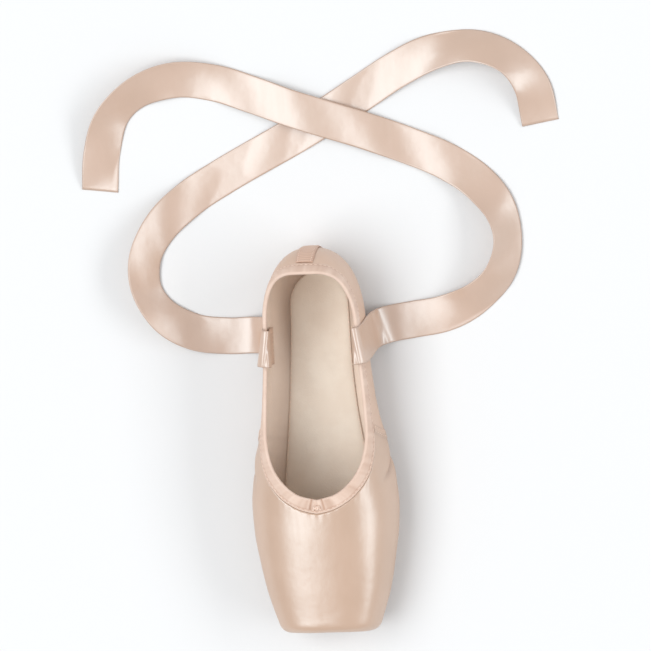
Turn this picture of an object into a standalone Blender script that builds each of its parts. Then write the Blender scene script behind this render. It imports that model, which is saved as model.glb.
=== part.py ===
"""A pointe shoe standing empty on its sole: toe towards -Y, heel towards +Y, floor at z = 0.

The shape of the last is one function of named sections. Every piece is a grid laid on that
skin, or a little inside or outside it, so the pieces meet with an even gap.
"""
import math
from typing import NamedTuple

import bmesh
import bpy
import numpy as np
from mathutils import Vector

MM = 0.001

# Driving dimensions, in millimetres and degrees. Stations run back from the platform.
LENGTH = 232.0
GAP = 0.3
PLATFORM_TILT = 5.0
PLATFORM_LOW_Z = 10.0
PLATFORM_EDGE = 4.5
TOE_LEAN_START = 10.0
TOE_LEAN_LENGTH = 60.0
HEEL_ROUND = 46.0
HEEL_POWER = 2.3
HEEL_LEAN_START = 180.0
HEEL_BULGE_Z = 31.0
HEEL_FOOT_TUCK = 11.0
HEEL_TOP_Z = 62.0
HEEL_TOP_TUCK = 13.0
HEEL_TOP_POWER = 2.5
HEEL_TOP_REACH = 1.3

BOX_WALL = 2.6
BOX_WALL_END = 60.0
BOX_WALL_FADE = 45.0
QUARTER_WALL = 1.5
SOLE_THICKNESS = 3.0
SOLE_TIP = 29.0
SOLE_END = 219.0
SOLE_TIP_ROUND = 9.0
SOLE_HEEL_ROUND = 21.0
SOLE_EDGE_ROUND = 0.7
LASTING_MARGIN = 7.0
PLUG_GAP = 0.5
INSOLE_THICKNESS = 1.3
INSOLE_WIDTH_SHARE = 0.6
INSOLE_START = 14.0
INSOLE_END = 216.0
INSOLE_TOE_ROUND = 16.0
INSOLE_HEEL_ROUND = 20.0

CASING_WIDTH = 8.4
EDGE_GAP = 0.45
CASING_THICKNESS = 2.3
CASING_PROUD = 0.35
CASING_SOFT = 0.8
PLEAT_DEPTH = 0.7
SEAM_HEIGHT = 0.5
SEAM_HALF_WIDTH = 2.4
SEAM_FOOT = 115.0
SEAM_TOP = 126.0
STRIP_SHARE = 0.02
STRIP_FOOT = 14.0
STRIP_THICKNESS = 0.7
KNOT_SIZE = (5.0, 3.2, 2.2)
KNOT_SEAT = 0.45
RIBBON_WIDTH = 22.0
RIBBON_THICKNESS = 0.6
RIBBON_STEPS = 3
RIBBON_LEVEL_FROM = 0.5
RIBBON_LEVEL_OVER = 0.4
FLOOR_GAP = 0.05

# The station over which the shoe's middle lies, with the strip on its heel.
MIDDLE = (LENGTH + GAP + STRIP_THICKNESS) / 2.0

# Where rays start that find the skin: one point in the box, one in the heel.
BOX_CENTRE = 32.0
HEEL_CENTRE = 198.0
CORE_Z = 23.0
RAY_REACH = 80.0
RAY_HALVINGS = 36
CORNER_LIMIT = 9.0
LEAST_WIDTH = 1e-4
LINE_POINTS = 361
HALF_RIB_POINTS = 60
EDGE_ROUNDS = 20


class Section(NamedTuple):
    """One section of the last, across the shoe."""

    station: float
    half_width: float
    z_wide: float
    z_top: float
    z_bottom: float
    top_power: float
    bottom_power: float


LAST = (
    Section(0.0, 28.8, 21.5, 42.5, 5.5, 2.5, 2.6),
    Section(12.0, 32.9, 21.5, 44.2, 4.6, 2.45, 2.7),
    Section(27.0, 37.2, 21.0, 46.6, 3.7, 2.35, 2.9),
    Section(46.0, 40.8, 20.5, 49.6, 3.3, 2.25, 3.1),
    Section(62.0, 43.2, 20.0, 51.8, 3.3, 2.2, 3.2),
    Section(78.0, 44.0, 19.5, 53.4, 3.3, 2.15, 3.2),
    Section(93.0, 42.5, 19.5, 55.5, 3.3, 2.15, 3.2),
    Section(112.0, 38.8, 20.0, 60.0, 4.3, 2.2, 3.1),
    Section(135.0, 34.3, 21.0, 68.0, 6.6, 2.2, 3.0),
    Section(158.0, 31.4, 22.0, 76.0, 6.4, 2.2, 2.9),
    Section(185.0, 29.6, 23.0, 84.0, 3.3, 2.2, 2.8),
    Section(232.0, 28.6, 24.0, 90.0, 3.3, 2.2, 2.8),
)


class EdgeRow(NamedTuple):
    """One point of the shoe's open edge: a station, and an angle round its section.

    The angle is 90 degrees at the section's top and 0 at its widest line.
    """

    run: float
    station: float
    angle: float


TOP_EDGE = (
    EdgeRow(0.0, 84.0, 90.0),
    EdgeRow(0.09, 86.6, 77.5),
    EdgeRow(0.2, 94.2, 62.5),
    EdgeRow(0.32, 108.0, 46.0),
    EdgeRow(0.45, 128.0, 31.5),
    EdgeRow(0.6, 157.0, 22.5),
    EdgeRow(0.75, 188.0, 20.5),
    EdgeRow(0.88, 215.0, 25.5),
    EdgeRow(0.96, 229.0, 32.0),
    EdgeRow(1.0, 232.0, 34.5),
)


class SoleRow(NamedTuple):
    """Half the width of the sole at a station."""

    station: float
    half_width: float


SOLE = (
    SoleRow(29.0, 15.5),
    SoleRow(45.0, 21.0),
    SoleRow(60.0, 25.3),
    SoleRow(76.0, 26.6),
    SoleRow(95.0, 24.0),
    SoleRow(117.0, 16.8),
    SoleRow(140.0, 13.4),
    SoleRow(165.0, 15.6),
    SoleRow(190.0, 19.2),
    SoleRow(219.0, 19.8),
)


class RibRow(NamedTuple):
    """How one rib of the upper runs, from the sole up to the open edge.

    core is the station its middle rays start from, azimuth their heading (0 toe, 90 side,
    180 heel), and feather and edge are shares of the way round the two edges it joins.
    """

    rib: float
    core: float
    azimuth: float
    feather: float
    edge: float


RIBS = (
    RibRow(0.0, 32.0, 0.0, 0.0, 0.0),
    RibRow(0.1, 32.0, 38.0, 0.035, 0.035),
    RibRow(0.2, 34.0, 80.0, 0.09, 0.075),
    RibRow(0.35, 74.0, 90.0, 0.24, 0.155),
    RibRow(0.5, 119.0, 90.0, 0.465, 0.335),
    RibRow(0.66, 160.0, 90.0, 0.69, 0.54),
    RibRow(0.8, 195.0, 95.0, 0.87, 0.745),
    RibRow(0.9, 198.0, 138.0, 0.945, 0.87),
    RibRow(1.0, 198.0, 180.0, 1.0, 1.0),
)

# Share of a rib's length at which each row of the upper's grid lies.
UPPER_ROWS = (0.0, 0.055, 0.11, 0.16, 0.2, 0.235, 0.265, 0.3, 0.4, 0.47, 0.505, 0.535, 0.57,
              0.63, 0.71, 0.8, 0.9, 1.0)
PLEAT_ROWS = (3, 4, 5)
SEAM_ROW = 3
PLEAT_COLUMNS = 13
UPPER_COLUMNS = 41
SEAM_OFFSETS = (-1.5, -1.0, 0.0, 1.0, 1.5)
SEAM_CLEARANCE = 2.4
EDGE_COLUMNS = 41
INSOLE_COLUMNS = 27
INSOLE_RIDGE_SHARE = 0.55
STRIP_COLUMNS = 3
STRIP_ROWS = 11


class RoutePoint(NamedTuple):
    """A point of a ribbon's middle line, and how far the ribbon is banked there."""

    x: float
    y: float
    z: float
    bank: float


RIBBON_RIGHT = (
    RoutePoint(26.8, 57.0, 20.0, 0.0),
    RoutePoint(27.0, 57.0, 29.0, 0.0),
    RoutePoint(26.2, 57.0, 37.0, 0.0),
    RoutePoint(24.9, 57.0, 43.5, 0.0),
    RoutePoint(25.2, 57.2, 47.2, 0.0),
    RoutePoint(27.6, 57.6, 49.2, 0.0),
    RoutePoint(30.2, 58.0, 47.2, 0.0),
    RoutePoint(31.0, 58.5, 42.5, 0.0),
    RoutePoint(31.9, 60.0, 32.0, 0.0),
    RoutePoint(32.4, 62.0, 19.0, 0.0),
    RoutePoint(34.5, 64.0, 8.0, 0.0),
    RoutePoint(42.0, 66.0, 1.6, 0.0),
    RoutePoint(56.0, 68.0, 0.6, 0.0),
    RoutePoint(75.0, 71.0, 1.8, 10.0),
    RoutePoint(94.0, 79.0, 5.4, 27.0),
    RoutePoint(109.0, 93.0, 8.4, 42.0),
    RoutePoint(115.0, 112.0, 9.2, 46.0),
    RoutePoint(111.0, 132.0, 7.4, 36.0),
    RoutePoint(98.0, 149.0, 3.8, 17.0),
    RoutePoint(79.0, 162.0, 1.2, 4.0),
    RoutePoint(57.0, 172.0, 1.0, 0.0),
    RoutePoint(34.0, 181.0, 3.0, 0.0),
    RoutePoint(11.0, 189.0, 4.4, 0.0),
    RoutePoint(-12.0, 197.0, 4.2, 0.0),
    RoutePoint(-35.0, 206.0, 2.2, 0.0),
    RoutePoint(-58.0, 214.0, 1.0, -3.0),
    RoutePoint(-82.0, 217.0, 3.4, -16.0),
    RoutePoint(-104.0, 211.0, 6.6, -32.0),
    RoutePoint(-120.0, 196.0, 7.4, -36.0),
    RoutePoint(-128.0, 175.0, 3.6, -16.0),
    RoutePoint(-131.0, 152.0, 0.6, 0.0),
)

RIBBON_LEFT = (
    RoutePoint(-26.8, 57.0, 20.0, 0.0),
    RoutePoint(-27.0, 57.0, 29.0, 0.0),
    RoutePoint(-26.2, 57.0, 37.0, 0.0),
    RoutePoint(-24.9, 57.0, 43.5, 0.0),
    RoutePoint(-25.2, 57.2, 47.2, 0.0),
    RoutePoint(-27.6, 57.6, 49.2, 0.0),
    RoutePoint(-30.2, 58.0, 47.2, 0.0),
    RoutePoint(-31.0, 58.5, 42.5, 0.0),
    RoutePoint(-31.9, 60.0, 32.0, 0.0),
    RoutePoint(-32.4, 61.0, 19.0, 0.0),
    RoutePoint(-35.0, 62.0, 8.0, 0.0),
    RoutePoint(-43.0, 62.0, 1.6, 0.0),
    RoutePoint(-58.0, 62.0, 0.6, 0.0),
    RoutePoint(-77.0, 65.0, 2.4, -13.0),
    RoutePoint(-94.0, 75.0, 6.6, -33.0),
    RoutePoint(-104.0, 92.0, 9.0, -45.0),
    RoutePoint(-104.0, 112.0, 8.2, -40.0),
    RoutePoint(-94.0, 130.0, 4.6, -21.0),
    RoutePoint(-77.0, 145.0, 1.4, -5.0),
    RoutePoint(-57.0, 157.0, 0.6, 0.0),
    RoutePoint(-36.0, 168.0, 0.6, 0.0),
    RoutePoint(-14.0, 179.0, 0.6, 0.0),
    RoutePoint(8.0, 191.0, 0.6, 0.0),
    RoutePoint(30.0, 204.0, 0.6, 0.0),
    RoutePoint(52.0, 217.0, 1.2, 4.0),
    RoutePoint(75.0, 227.0, 3.8, 17.0),
    RoutePoint(99.0, 230.0, 6.8, 33.0),
    RoutePoint(120.0, 222.0, 7.6, 37.0),
    RoutePoint(133.0, 205.0, 4.6, 21.0),
    RoutePoint(137.0, 182.0, 0.8, 2.0),
)


def steep(share):
    """A step from 0 to 1 that is level at both ends."""
    share = np.clip(share, 0.0, 1.0)
    return share * share * (3.0 - 2.0 * share)


def read(table, column: str, at):
    """A column of a table at any value of the first column, with no overshoot between rows."""
    knots = np.array([row[0] for row in table])
    values = np.array([getattr(row, column) for row in table])
    spans = np.diff(knots)
    rates = np.diff(values) / spans
    products = rates[:-1] * rates[1:]
    sums = np.where(products > 0.0, rates[:-1] + rates[1:], 1.0)
    middle = np.where(products > 0.0, 2.0 * products / sums, 0.0)
    slopes = np.concatenate(([rates[0]], middle, [rates[-1]]))
    at = np.asarray(at, dtype=float)
    row = np.clip(np.searchsorted(knots, at, side="right") - 1, 0, len(knots) - 2)
    span = spans[row]
    t = np.clip((at - knots[row]) / span, 0.0, 1.0)
    start = values[row] + slopes[row] * span * t * (1.0 - t) ** 2
    turn = t * t * (3.0 - 2.0 * t) * (values[row + 1] - values[row])
    return start + turn - slopes[row + 1] * span * t * t * (1.0 - t)


def station_of(y, z):
    """The station whose section, leaning at toe and heel, holds a point."""
    toe = 1.0 - steep((y - TOE_LEAN_START) / TOE_LEAN_LENGTH)
    heel = steep((y - HEEL_LEAN_START) / (LENGTH - HEEL_LEAN_START))
    low = np.clip((HEEL_BULGE_Z - z) / (HEEL_BULGE_Z - LAST[-1].z_bottom), 0.0, 1.0)
    high = np.clip((z - HEEL_BULGE_Z) / (HEEL_TOP_Z - HEEL_BULGE_Z), 0.0, HEEL_TOP_REACH)
    tuck = HEEL_FOOT_TUCK * (1.0 - np.sqrt(1.0 - low**2)) + HEEL_TOP_TUCK * high**HEEL_TOP_POWER
    lean = (z - PLATFORM_LOW_Z) * math.tan(math.radians(PLATFORM_TILT))
    return y - lean * toe + tuck * heel


def outside(points):
    """Above 0 outside the last's skin, and below 0 inside it."""
    x, y, z = points[..., 0], points[..., 1], points[..., 2]
    station = station_of(y, z)
    toe = np.clip(station / PLATFORM_EDGE, 0.0, 1.0)
    inset = PLATFORM_EDGE * (1.0 - np.sqrt(1.0 - (1.0 - toe) ** 2))
    heel = np.clip((station - LENGTH + HEEL_ROUND) / HEEL_ROUND, 0.0, 1.0)
    rounding = (1.0 - heel**HEEL_POWER) ** (1.0 / HEEL_POWER)
    width = np.maximum((read(LAST, "half_width", station) - inset) * rounding, LEAST_WIDTH)
    wide = read(LAST, "z_wide", station)
    above = z > wide
    top = read(LAST, "z_top", station) - inset
    bottom = read(LAST, "z_bottom", station) + inset
    rise = np.abs(z - wide) / np.where(above, top - wide, wide - bottom)
    power = np.where(above, read(LAST, "top_power", station), read(LAST, "bottom_power", station))
    run = np.minimum(np.abs(x) / width, CORNER_LIMIT)
    value = run**power + np.minimum(rise, CORNER_LIMIT) ** power - 1.0
    return np.where((station < 0.0) | (station > LENGTH), 1.0, value)


def cast(origins, aims):
    """Where rays from inside the last meet its skin."""
    near = np.zeros(aims.shape[:-1])
    far = np.full(aims.shape[:-1], RAY_REACH)
    for _ in range(RAY_HALVINGS):
        middle = (near + far) / 2.0
        inside = outside(origins + aims * middle[..., None]) < 0.0
        near = np.where(inside, middle, near)
        far = np.where(inside, far, middle)
    return origins + aims * near[..., None]


def unit(vectors):
    """Vectors of length 1."""
    return vectors / np.linalg.norm(vectors, axis=-1, keepdims=True)


def turn(start, end, share):
    """Directions a share of the way round from start to end."""
    angle = np.arccos(np.clip(np.sum(start * end, axis=-1), -1.0, 1.0))[..., None]
    scale = np.maximum(np.sin(angle), 1e-9)
    return unit(start * np.sin((1.0 - share) * angle) / scale + end * np.sin(share * angle) / scale)


def length_of(line) -> float:
    """The length of a line of points."""
    return float(np.sum(np.linalg.norm(np.diff(line, axis=0), axis=1)))


def by_length(line, shares):
    """Points at given shares of a line's length."""
    run = np.concatenate(([0.0], np.cumsum(np.linalg.norm(np.diff(line, axis=0), axis=1))))
    at = np.asarray(shares) * run[-1]
    return np.stack([np.interp(at, run, line[:, axis]) for axis in range(3)], axis=-1)


def underside(x, y):
    """The skin's height under a point of the plan."""
    x, y = np.broadcast_arrays(np.asarray(x, dtype=float), np.asarray(y, dtype=float))
    origins = np.stack([x, y, np.full(x.shape, CORE_Z)], axis=-1)
    down = np.zeros_like(origins)
    down[..., 2] = -1.0
    return cast(origins, down)[..., 2]


def sole_outline(share, inset: float = 0.0):
    """Half the sole's outline, from its tip (share 0) round to its heel (share 1)."""
    start, end = SOLE_TIP + inset, SOLE_END - inset
    y = start + (end - start) * (1.0 - np.cos(math.pi * np.asarray(share, dtype=float))) / 2.0
    tip = np.clip((y - start) / SOLE_TIP_ROUND, 0.0, 1.0)
    heel = np.clip((end - y) / SOLE_HEEL_ROUND, 0.0, 1.0)
    rounding = np.sqrt((1.0 - (1.0 - tip) ** 2) * (1.0 - (1.0 - heel) ** 2))
    return (read(SOLE, "half_width", y) - inset) * rounding, y


def feather_line():
    """The upper's lower edge, tucked under the sole, from toe to heel."""
    x, y = sole_outline(np.linspace(0.0, 1.0, LINE_POINTS), LASTING_MARGIN)
    return np.stack([x, y, underside(x, y)], axis=-1)


def open_edge():
    """The shoe's top edge, from the middle of the throat to the centre back."""
    run = np.sin(np.linspace(0.0, math.pi / 2.0, LINE_POINTS))
    station, angle = read(TOP_EDGE, "station", run), np.radians(read(TOP_EDGE, "angle", run))
    heel = np.clip((station - LENGTH + HEEL_ROUND) / HEEL_ROUND, 0.0, 1.0)
    power = read(LAST, "top_power", station)
    width = read(LAST, "half_width", station) * (1.0 - heel**HEEL_POWER) ** (1.0 / HEEL_POWER)
    x = width * np.maximum(np.cos(angle), 0.0) ** (2.0 / power)
    wide, top = read(LAST, "z_wide", station), read(LAST, "z_top", station)
    z = wide + (top - wide) * np.sin(angle) ** (2.0 / power)
    y = station.copy()
    for _ in range(EDGE_ROUNDS):
        y = station + y - station_of(y, z)
    x[0], x[-1] = 0.0, 0.0
    return np.stack([x, y, z], axis=-1)


FEATHER, EDGE = feather_line(), open_edge()


def share_at(line, y: float) -> float:
    """The share of a line's length at which it passes a station."""
    run = np.concatenate(([0.0], np.cumsum(np.linalg.norm(np.diff(line, axis=0), axis=1))))
    return float(np.interp(y, line[:, 1], run / run[-1]))


def rib(at: float):
    """A rib of the skin, from the feather line up to the open edge, densely sampled."""
    foot = by_length(FEATHER, [read(RIBS, "feather", at)])[0]
    head = by_length(EDGE, [read(RIBS, "edge", at)])[0]
    azimuth = math.radians(float(read(RIBS, "azimuth", at)))
    core = np.array([0.0, float(read(RIBS, "core", at)), CORE_Z])
    crown = np.array([0.0, min(max(head[1], BOX_CENTRE), HEEL_CENTRE), CORE_Z])
    level = np.array([math.sin(azimuth), -math.cos(azimuth), 0.0])
    if at in (0.0, 1.0):
        level[0] = 0.0
    share = np.linspace(0.0, 1.0, HALF_RIB_POINTS)[:, None]
    lower = turn(unit(foot - core), level, share)
    upper = turn(level, unit(head - crown), share[1:])
    shift = steep(share[1:])
    still = np.repeat(core[None], HALF_RIB_POINTS, axis=0)
    origins = np.concatenate([still, core + (crown - core) * shift])
    return cast(origins, np.concatenate([lower, upper]))


def seam_rib() -> float:
    """The rib on which the side seam lies."""
    target = (share_at(FEATHER, SEAM_FOOT) + share_at(EDGE, SEAM_TOP)) / 2.0
    grid = np.linspace(0.0, 1.0, LINE_POINTS)
    shares = (read(RIBS, "feather", grid) + read(RIBS, "edge", grid)) / 2.0
    return float(np.interp(target, shares, grid))


def upper_columns():
    """The ribs of the upper's grid, with close ones at the raised side seam."""
    seam = seam_rib()
    reach = SEAM_HALF_WIDTH / LENGTH
    even = np.linspace(0.0, 1.0, UPPER_COLUMNS)
    kept = even[np.abs(even - seam) > SEAM_CLEARANCE * reach]
    return np.sort(np.concatenate([kept, seam + reach * np.array(SEAM_OFFSETS)]))


def skin_grid(columns, shares, band=(0.0, 0.0)):
    """Points of the skin: one row of points per rib, at shares of its length.

    band cuts a length off the rib's foot and off its head first.
    """
    lines = []
    for at in columns:
        line = rib(float(at))
        length = length_of(line)
        span = (length - band[0] - band[1]) / length
        lines.append(by_length(line, band[0] / length + span * np.asarray(shares)))
    points = np.array(lines)
    points[0, :, 0] *= 0.0 if columns[0] == 0.0 else 1.0
    points[-1, :, 0] *= 0.0 if columns[-1] == 1.0 else 1.0
    return points


def normals_of(points):
    """Outward directions of a grid of skin points."""
    normals = np.cross(np.gradient(points, axis=0), np.gradient(points, axis=1))
    return unit(normals)


def world(point) -> Vector:
    """A point of the stations' frame, in metres about the shoe's middle."""
    return Vector((float(point[0]), float(point[1]) - MIDDLE, float(point[2]))) * MM


def lay_grid(name: str, points, closed: bool = False) -> bpy.types.Object:
    """An object whose grid is laid on an array of points; closed joins its last row to its first."""
    columns, rows = points.shape[0], points.shape[1]
    bm = bmesh.new()
    bmesh.ops.create_grid(bm, x_segments=columns - 1, y_segments=rows - 1, size=1.0)
    for vert in bm.verts:
        column = round((vert.co.x + 1.0) / 2.0 * (columns - 1))
        row = round((vert.co.y + 1.0) / 2.0 * (rows - 1))
        vert.co = world(points[column, row % (rows - 1) if closed else row])
    bmesh.ops.remove_doubles(bm, verts=bm.verts[:], dist=MM * 0.001)
    mesh = bpy.data.meshes.new(name)
    bm.to_mesh(mesh)
    bm.free()
    mesh.shade_smooth()
    piece = bpy.data.objects.new(name, mesh)
    SHOE.objects.link(piece)
    return piece


def mirror(piece: bpy.types.Object) -> None:
    """Complete a half piece across the shoe's middle plane."""
    modifier = piece.modifiers.new("Both halves", "MIRROR")
    modifier.use_axis = (True, False, False)
    modifier.merge_threshold = 0.00001


def thicken(piece: bpy.types.Object, thickness: float, offset: float) -> bpy.types.Modifier:
    """Give a skin its thickness, in millimetres."""
    modifier = piece.modifiers.new("Wall", "SOLIDIFY")
    modifier.thickness = thickness * MM
    modifier.offset = offset
    modifier.use_even_offset = True
    modifier.use_quality_normals = True
    return modifier


def dress(piece: bpy.types.Object, name: str, colour, roughness: float) -> None:
    """Give a piece a plain material."""
    material = bpy.data.materials.new(name)
    material.use_nodes = True
    shader = material.node_tree.nodes["Principled BSDF"]
    shader.inputs["Base Color"].default_value = (*colour, 1.0)
    shader.inputs["Roughness"].default_value = roughness
    shader.inputs["Metallic"].default_value = 0.0
    piece.data.materials.append(material)


def wall_at(station):
    """The wall's thickness: stiff box in front, soft quarters behind."""
    soft = steep((station - BOX_WALL_END) / BOX_WALL_FADE)
    return BOX_WALL + (QUARTER_WALL - BOX_WALL) * soft


def build_upper() -> bpy.types.Object:
    """The upper: a hollow shell, pleated under the toe, with a raised seam at each side."""
    columns = upper_columns()
    points = skin_grid(columns, UPPER_ROWS, (0.0, CASING_WIDTH + EDGE_GAP))
    normals = normals_of(points)
    from_seam = np.abs(columns - seam_rib()) * LENGTH
    raised = np.where(from_seam < SEAM_HALF_WIDTH + MM, SEAM_HEIGHT, 0.0)
    points[:, SEAM_ROW:] += normals[:, SEAM_ROW:] * raised[:, None, None]
    for column in range(1, PLEAT_COLUMNS, 2):
        for row in PLEAT_ROWS:
            points[column, row] -= normals[column, row] * PLEAT_DEPTH
    piece = lay_grid("upper", points)
    group = piece.vertex_groups.new(name="box")
    for vert in piece.data.vertices:
        station = vert.co.y / MM + MIDDLE
        share = (float(wall_at(station)) - QUARTER_WALL) / (BOX_WALL - QUARTER_WALL)
        group.add([vert.index], share, "REPLACE")
    mirror(piece)
    wall = thicken(piece, BOX_WALL, -1.0)
    wall.vertex_group = "box"
    wall.thickness_vertex_group = QUARTER_WALL / BOX_WALL
    dress(piece, "peach satin", (0.86, 0.66, 0.55), 0.38)
    return piece


def build_outsole() -> bpy.types.Object:
    """The suede sole, with a raised middle that fills the opening under the upper."""
    shares = np.linspace(0.0, 1.0, EDGE_COLUMNS)
    rim_x, rim_y = sole_outline(shares)
    margin_x, margin_y = sole_outline(shares, LASTING_MARGIN / 2.0)
    inner_x, inner_y = sole_outline(shares, SOLE_EDGE_ROUND)
    plug_x, plug_y = sole_outline(shares, LASTING_MARGIN + PLUG_GAP)

    def bottom(x, y, lift=0.0):
        level = np.maximum(read(LAST, "z_bottom", y) - GAP - SOLE_THICKNESS, 0.0)
        return np.stack([x, y, level + lift], axis=-1)

    def under(x, y, lift=-GAP):
        return np.stack([x, y, underside(x, y) + lift], axis=-1)

    rows = [
        bottom(0.0 * plug_x, plug_y),
        bottom(plug_x, plug_y),
        bottom(inner_x, inner_y),
        bottom(rim_x, rim_y, SOLE_EDGE_ROUND),
        under(rim_x, rim_y),
        under(margin_x, margin_y),
        under(plug_x, plug_y),
        under(plug_x, plug_y, QUARTER_WALL),
        under(plug_x / 2.0, plug_y, QUARTER_WALL),
        under(0.0 * plug_x, plug_y, QUARTER_WALL),
    ]
    piece = lay_grid("outsole", np.stack(rows, axis=1))
    mirror(piece)
    dress(piece, "taupe suede", (0.45, 0.34, 0.28), 0.9)
    return piece


def insole_half_width(station):
    """Half the insole's width, rounded off at both ends."""
    start = np.clip((station - INSOLE_START) / INSOLE_TOE_ROUND, 0.0, 1.0)
    end = np.clip((INSOLE_END - station) / INSOLE_HEEL_ROUND, 0.0, 1.0)
    rounding = np.sqrt((1.0 - (1.0 - start) ** 2) * (1.0 - (1.0 - end) ** 2))
    return read(LAST, "half_width", station) * INSOLE_WIDTH_SHARE * rounding


def build_insole() -> bpy.types.Object:
    """The sock lining on its board, lying on the upper's tucked margin."""
    run = (1.0 - np.cos(np.linspace(0.0, math.pi, INSOLE_COLUMNS))) / 2.0
    y = INSOLE_START + (INSOLE_END - INSOLE_START) * run
    x = insole_half_width(y)
    floor = wall_at(y) + GAP + PLEAT_DEPTH * (1.0 - steep((y - SOLE_TIP) / SOLE_TIP_ROUND))

    def row(share, lift):
        return np.stack([x * share, y, underside(x * share, y) + floor + lift], axis=-1)

    shares = (0.0, INSOLE_RIDGE_SHARE, 1.0)
    rows = [row(share, 0.0) for share in shares]
    rows += [row(share, INSOLE_THICKNESS) for share in reversed(shares)]
    piece = lay_grid("insole", np.stack(rows, axis=1))
    mirror(piece)
    dress(piece, "cream cotton", (0.8, 0.73, 0.63), 0.85)
    return piece


def build_casing() -> bpy.types.Object:
    """The drawstring casing: a soft band that carries the upper's wall up to the open edge."""
    cut = []
    for at in np.linspace(0.0, 1.0, EDGE_COLUMNS):
        line = rib(float(at))
        down = np.array([CASING_WIDTH, CASING_WIDTH / 2.0, 0.0]) / length_of(line)
        cut.append(by_length(line, 1.0 - down))
    band = np.array(cut)
    band[0, :, 0], band[-1, :, 0] = 0.0, 0.0
    out = normals_of(band)
    rise = unit(np.gradient(band, axis=1))
    half, soft = CASING_THICKNESS / 2.0, CASING_SOFT
    depth = half - CASING_PROUD

    def at_corner(row, up, side):
        return band[:, row] + rise[:, row] * up + out[:, row] * (side - depth)

    ring = [
        at_corner(0, 0.0, half - soft / 2.0),
        at_corner(1, 0.0, half),
        at_corner(2, -soft, half),
        at_corner(2, 0.0, half - soft),
        at_corner(2, 0.0, soft - half),
        at_corner(2, -soft, -half),
        at_corner(1, 0.0, -half),
        at_corner(0, 0.0, soft / 2.0 - half),
    ]
    points = np.stack(ring + [ring[0]], axis=1)
    points[0, :, 0], points[-1, :, 0] = 0.0, 0.0
    piece = lay_grid("drawstring_casing", points, closed=True)
    mirror(piece)
    dress(piece, "pale cotton binding", (0.84, 0.66, 0.57), 0.8)
    return piece


def build_back_strip() -> bpy.types.Object:
    """The strip over the centre back seam, laid on the upper's skin."""
    columns = np.linspace(1.0 - STRIP_SHARE, 1.0, STRIP_COLUMNS)
    rows = np.linspace(0.0, 1.0, STRIP_ROWS)
    skin = skin_grid(columns, rows, (STRIP_FOOT, CASING_WIDTH + 2.0 * GAP))
    out = normals_of(skin)
    out[-1, :, 0] = 0.0
    near, far = skin + out * GAP, skin + out * (GAP + STRIP_THICKNESS)
    ring = np.concatenate([far, near[:, ::-1], far[:, :1]], axis=1)
    piece = lay_grid("back_seam_strip", ring, closed=True)
    cap_ends(piece)
    mirror(piece)
    dress(piece, "peach binding", (0.84, 0.64, 0.54), 0.6)
    return piece


def cap_ends(piece: bpy.types.Object) -> None:
    """Close the open ends of a piece's grid that lie off the middle plane."""
    bm = bmesh.new()
    bm.from_mesh(piece.data)
    loose = [edge for edge in bm.edges if edge.is_boundary
             and max(abs(vert.co.x) for vert in edge.verts) > MM * 0.01]
    bmesh.ops.holes_fill(bm, edges=loose, sides=0)
    bm.to_mesh(piece.data)
    bm.free()


def smooth_route(route):
    """Points along a smooth curve through a route, with the bank at each."""
    rows = np.array([(p.x, p.y + MIDDLE, p.z, p.bank) for p in route])
    padded = np.concatenate([2.0 * rows[:1] - rows[1:2], rows, 2.0 * rows[-1:] - rows[-2:-1]])
    t = np.linspace(0.0, 1.0, RIBBON_STEPS, endpoint=False)[:, None]
    curves = []
    for a, b, c, d in zip(padded, padded[1:], padded[2:], padded[3:]):
        curves.append((2.0 * b + (c - a) * t + (2.0 * a - 5.0 * b + 4.0 * c - d) * t**2
                       + (3.0 * b - a - 3.0 * c + d) * t**3) / 2.0)
    return np.concatenate(curves + [rows[-1:]])


def build_ribbon(name: str, route) -> bpy.types.Object:
    """A satin ribbon from inside the quarter, over the edge and along the floor."""
    line = smooth_route(route)
    along = unit(np.gradient(line[:, :3], axis=0))
    across = np.zeros_like(along)
    across[0] = (0.0, 1.0, 0.0)
    for i in range(1, len(line)):
        level = np.cross((0.0, 0.0, 1.0), along[i])
        level *= np.sign(level @ across[i - 1]) or 1.0
        level_run = math.hypot(along[i, 0], along[i, 1])
        lying = steep((level_run - RIBBON_LEVEL_FROM) / RIBBON_LEVEL_OVER)
        guide = across[i - 1] * (1.0 - lying) + level * lying
        across[i] = unit(guide - along[i] * (guide @ along[i]))
    raised = np.cross(along, across)
    raised *= np.where(raised[:, 2:] < 0.0, -1.0, 1.0)
    bank = np.radians(line[:, 3:4])
    lie = across * np.cos(bank) + raised * np.sin(bank)
    half = RIBBON_WIDTH / 2.0
    points = np.stack([line[:, :3] + lie * half * side for side in (-1.0, 0.0, 1.0)], axis=1)
    points[:, :, 2] = np.maximum(points[:, :, 2], RIBBON_THICKNESS / 2.0 + FLOOR_GAP)
    piece = lay_grid(name, points)
    thicken(piece, RIBBON_THICKNESS, 0.0)
    dress(piece, name + " satin", (0.88, 0.68, 0.57), 0.35)
    return piece


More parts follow.
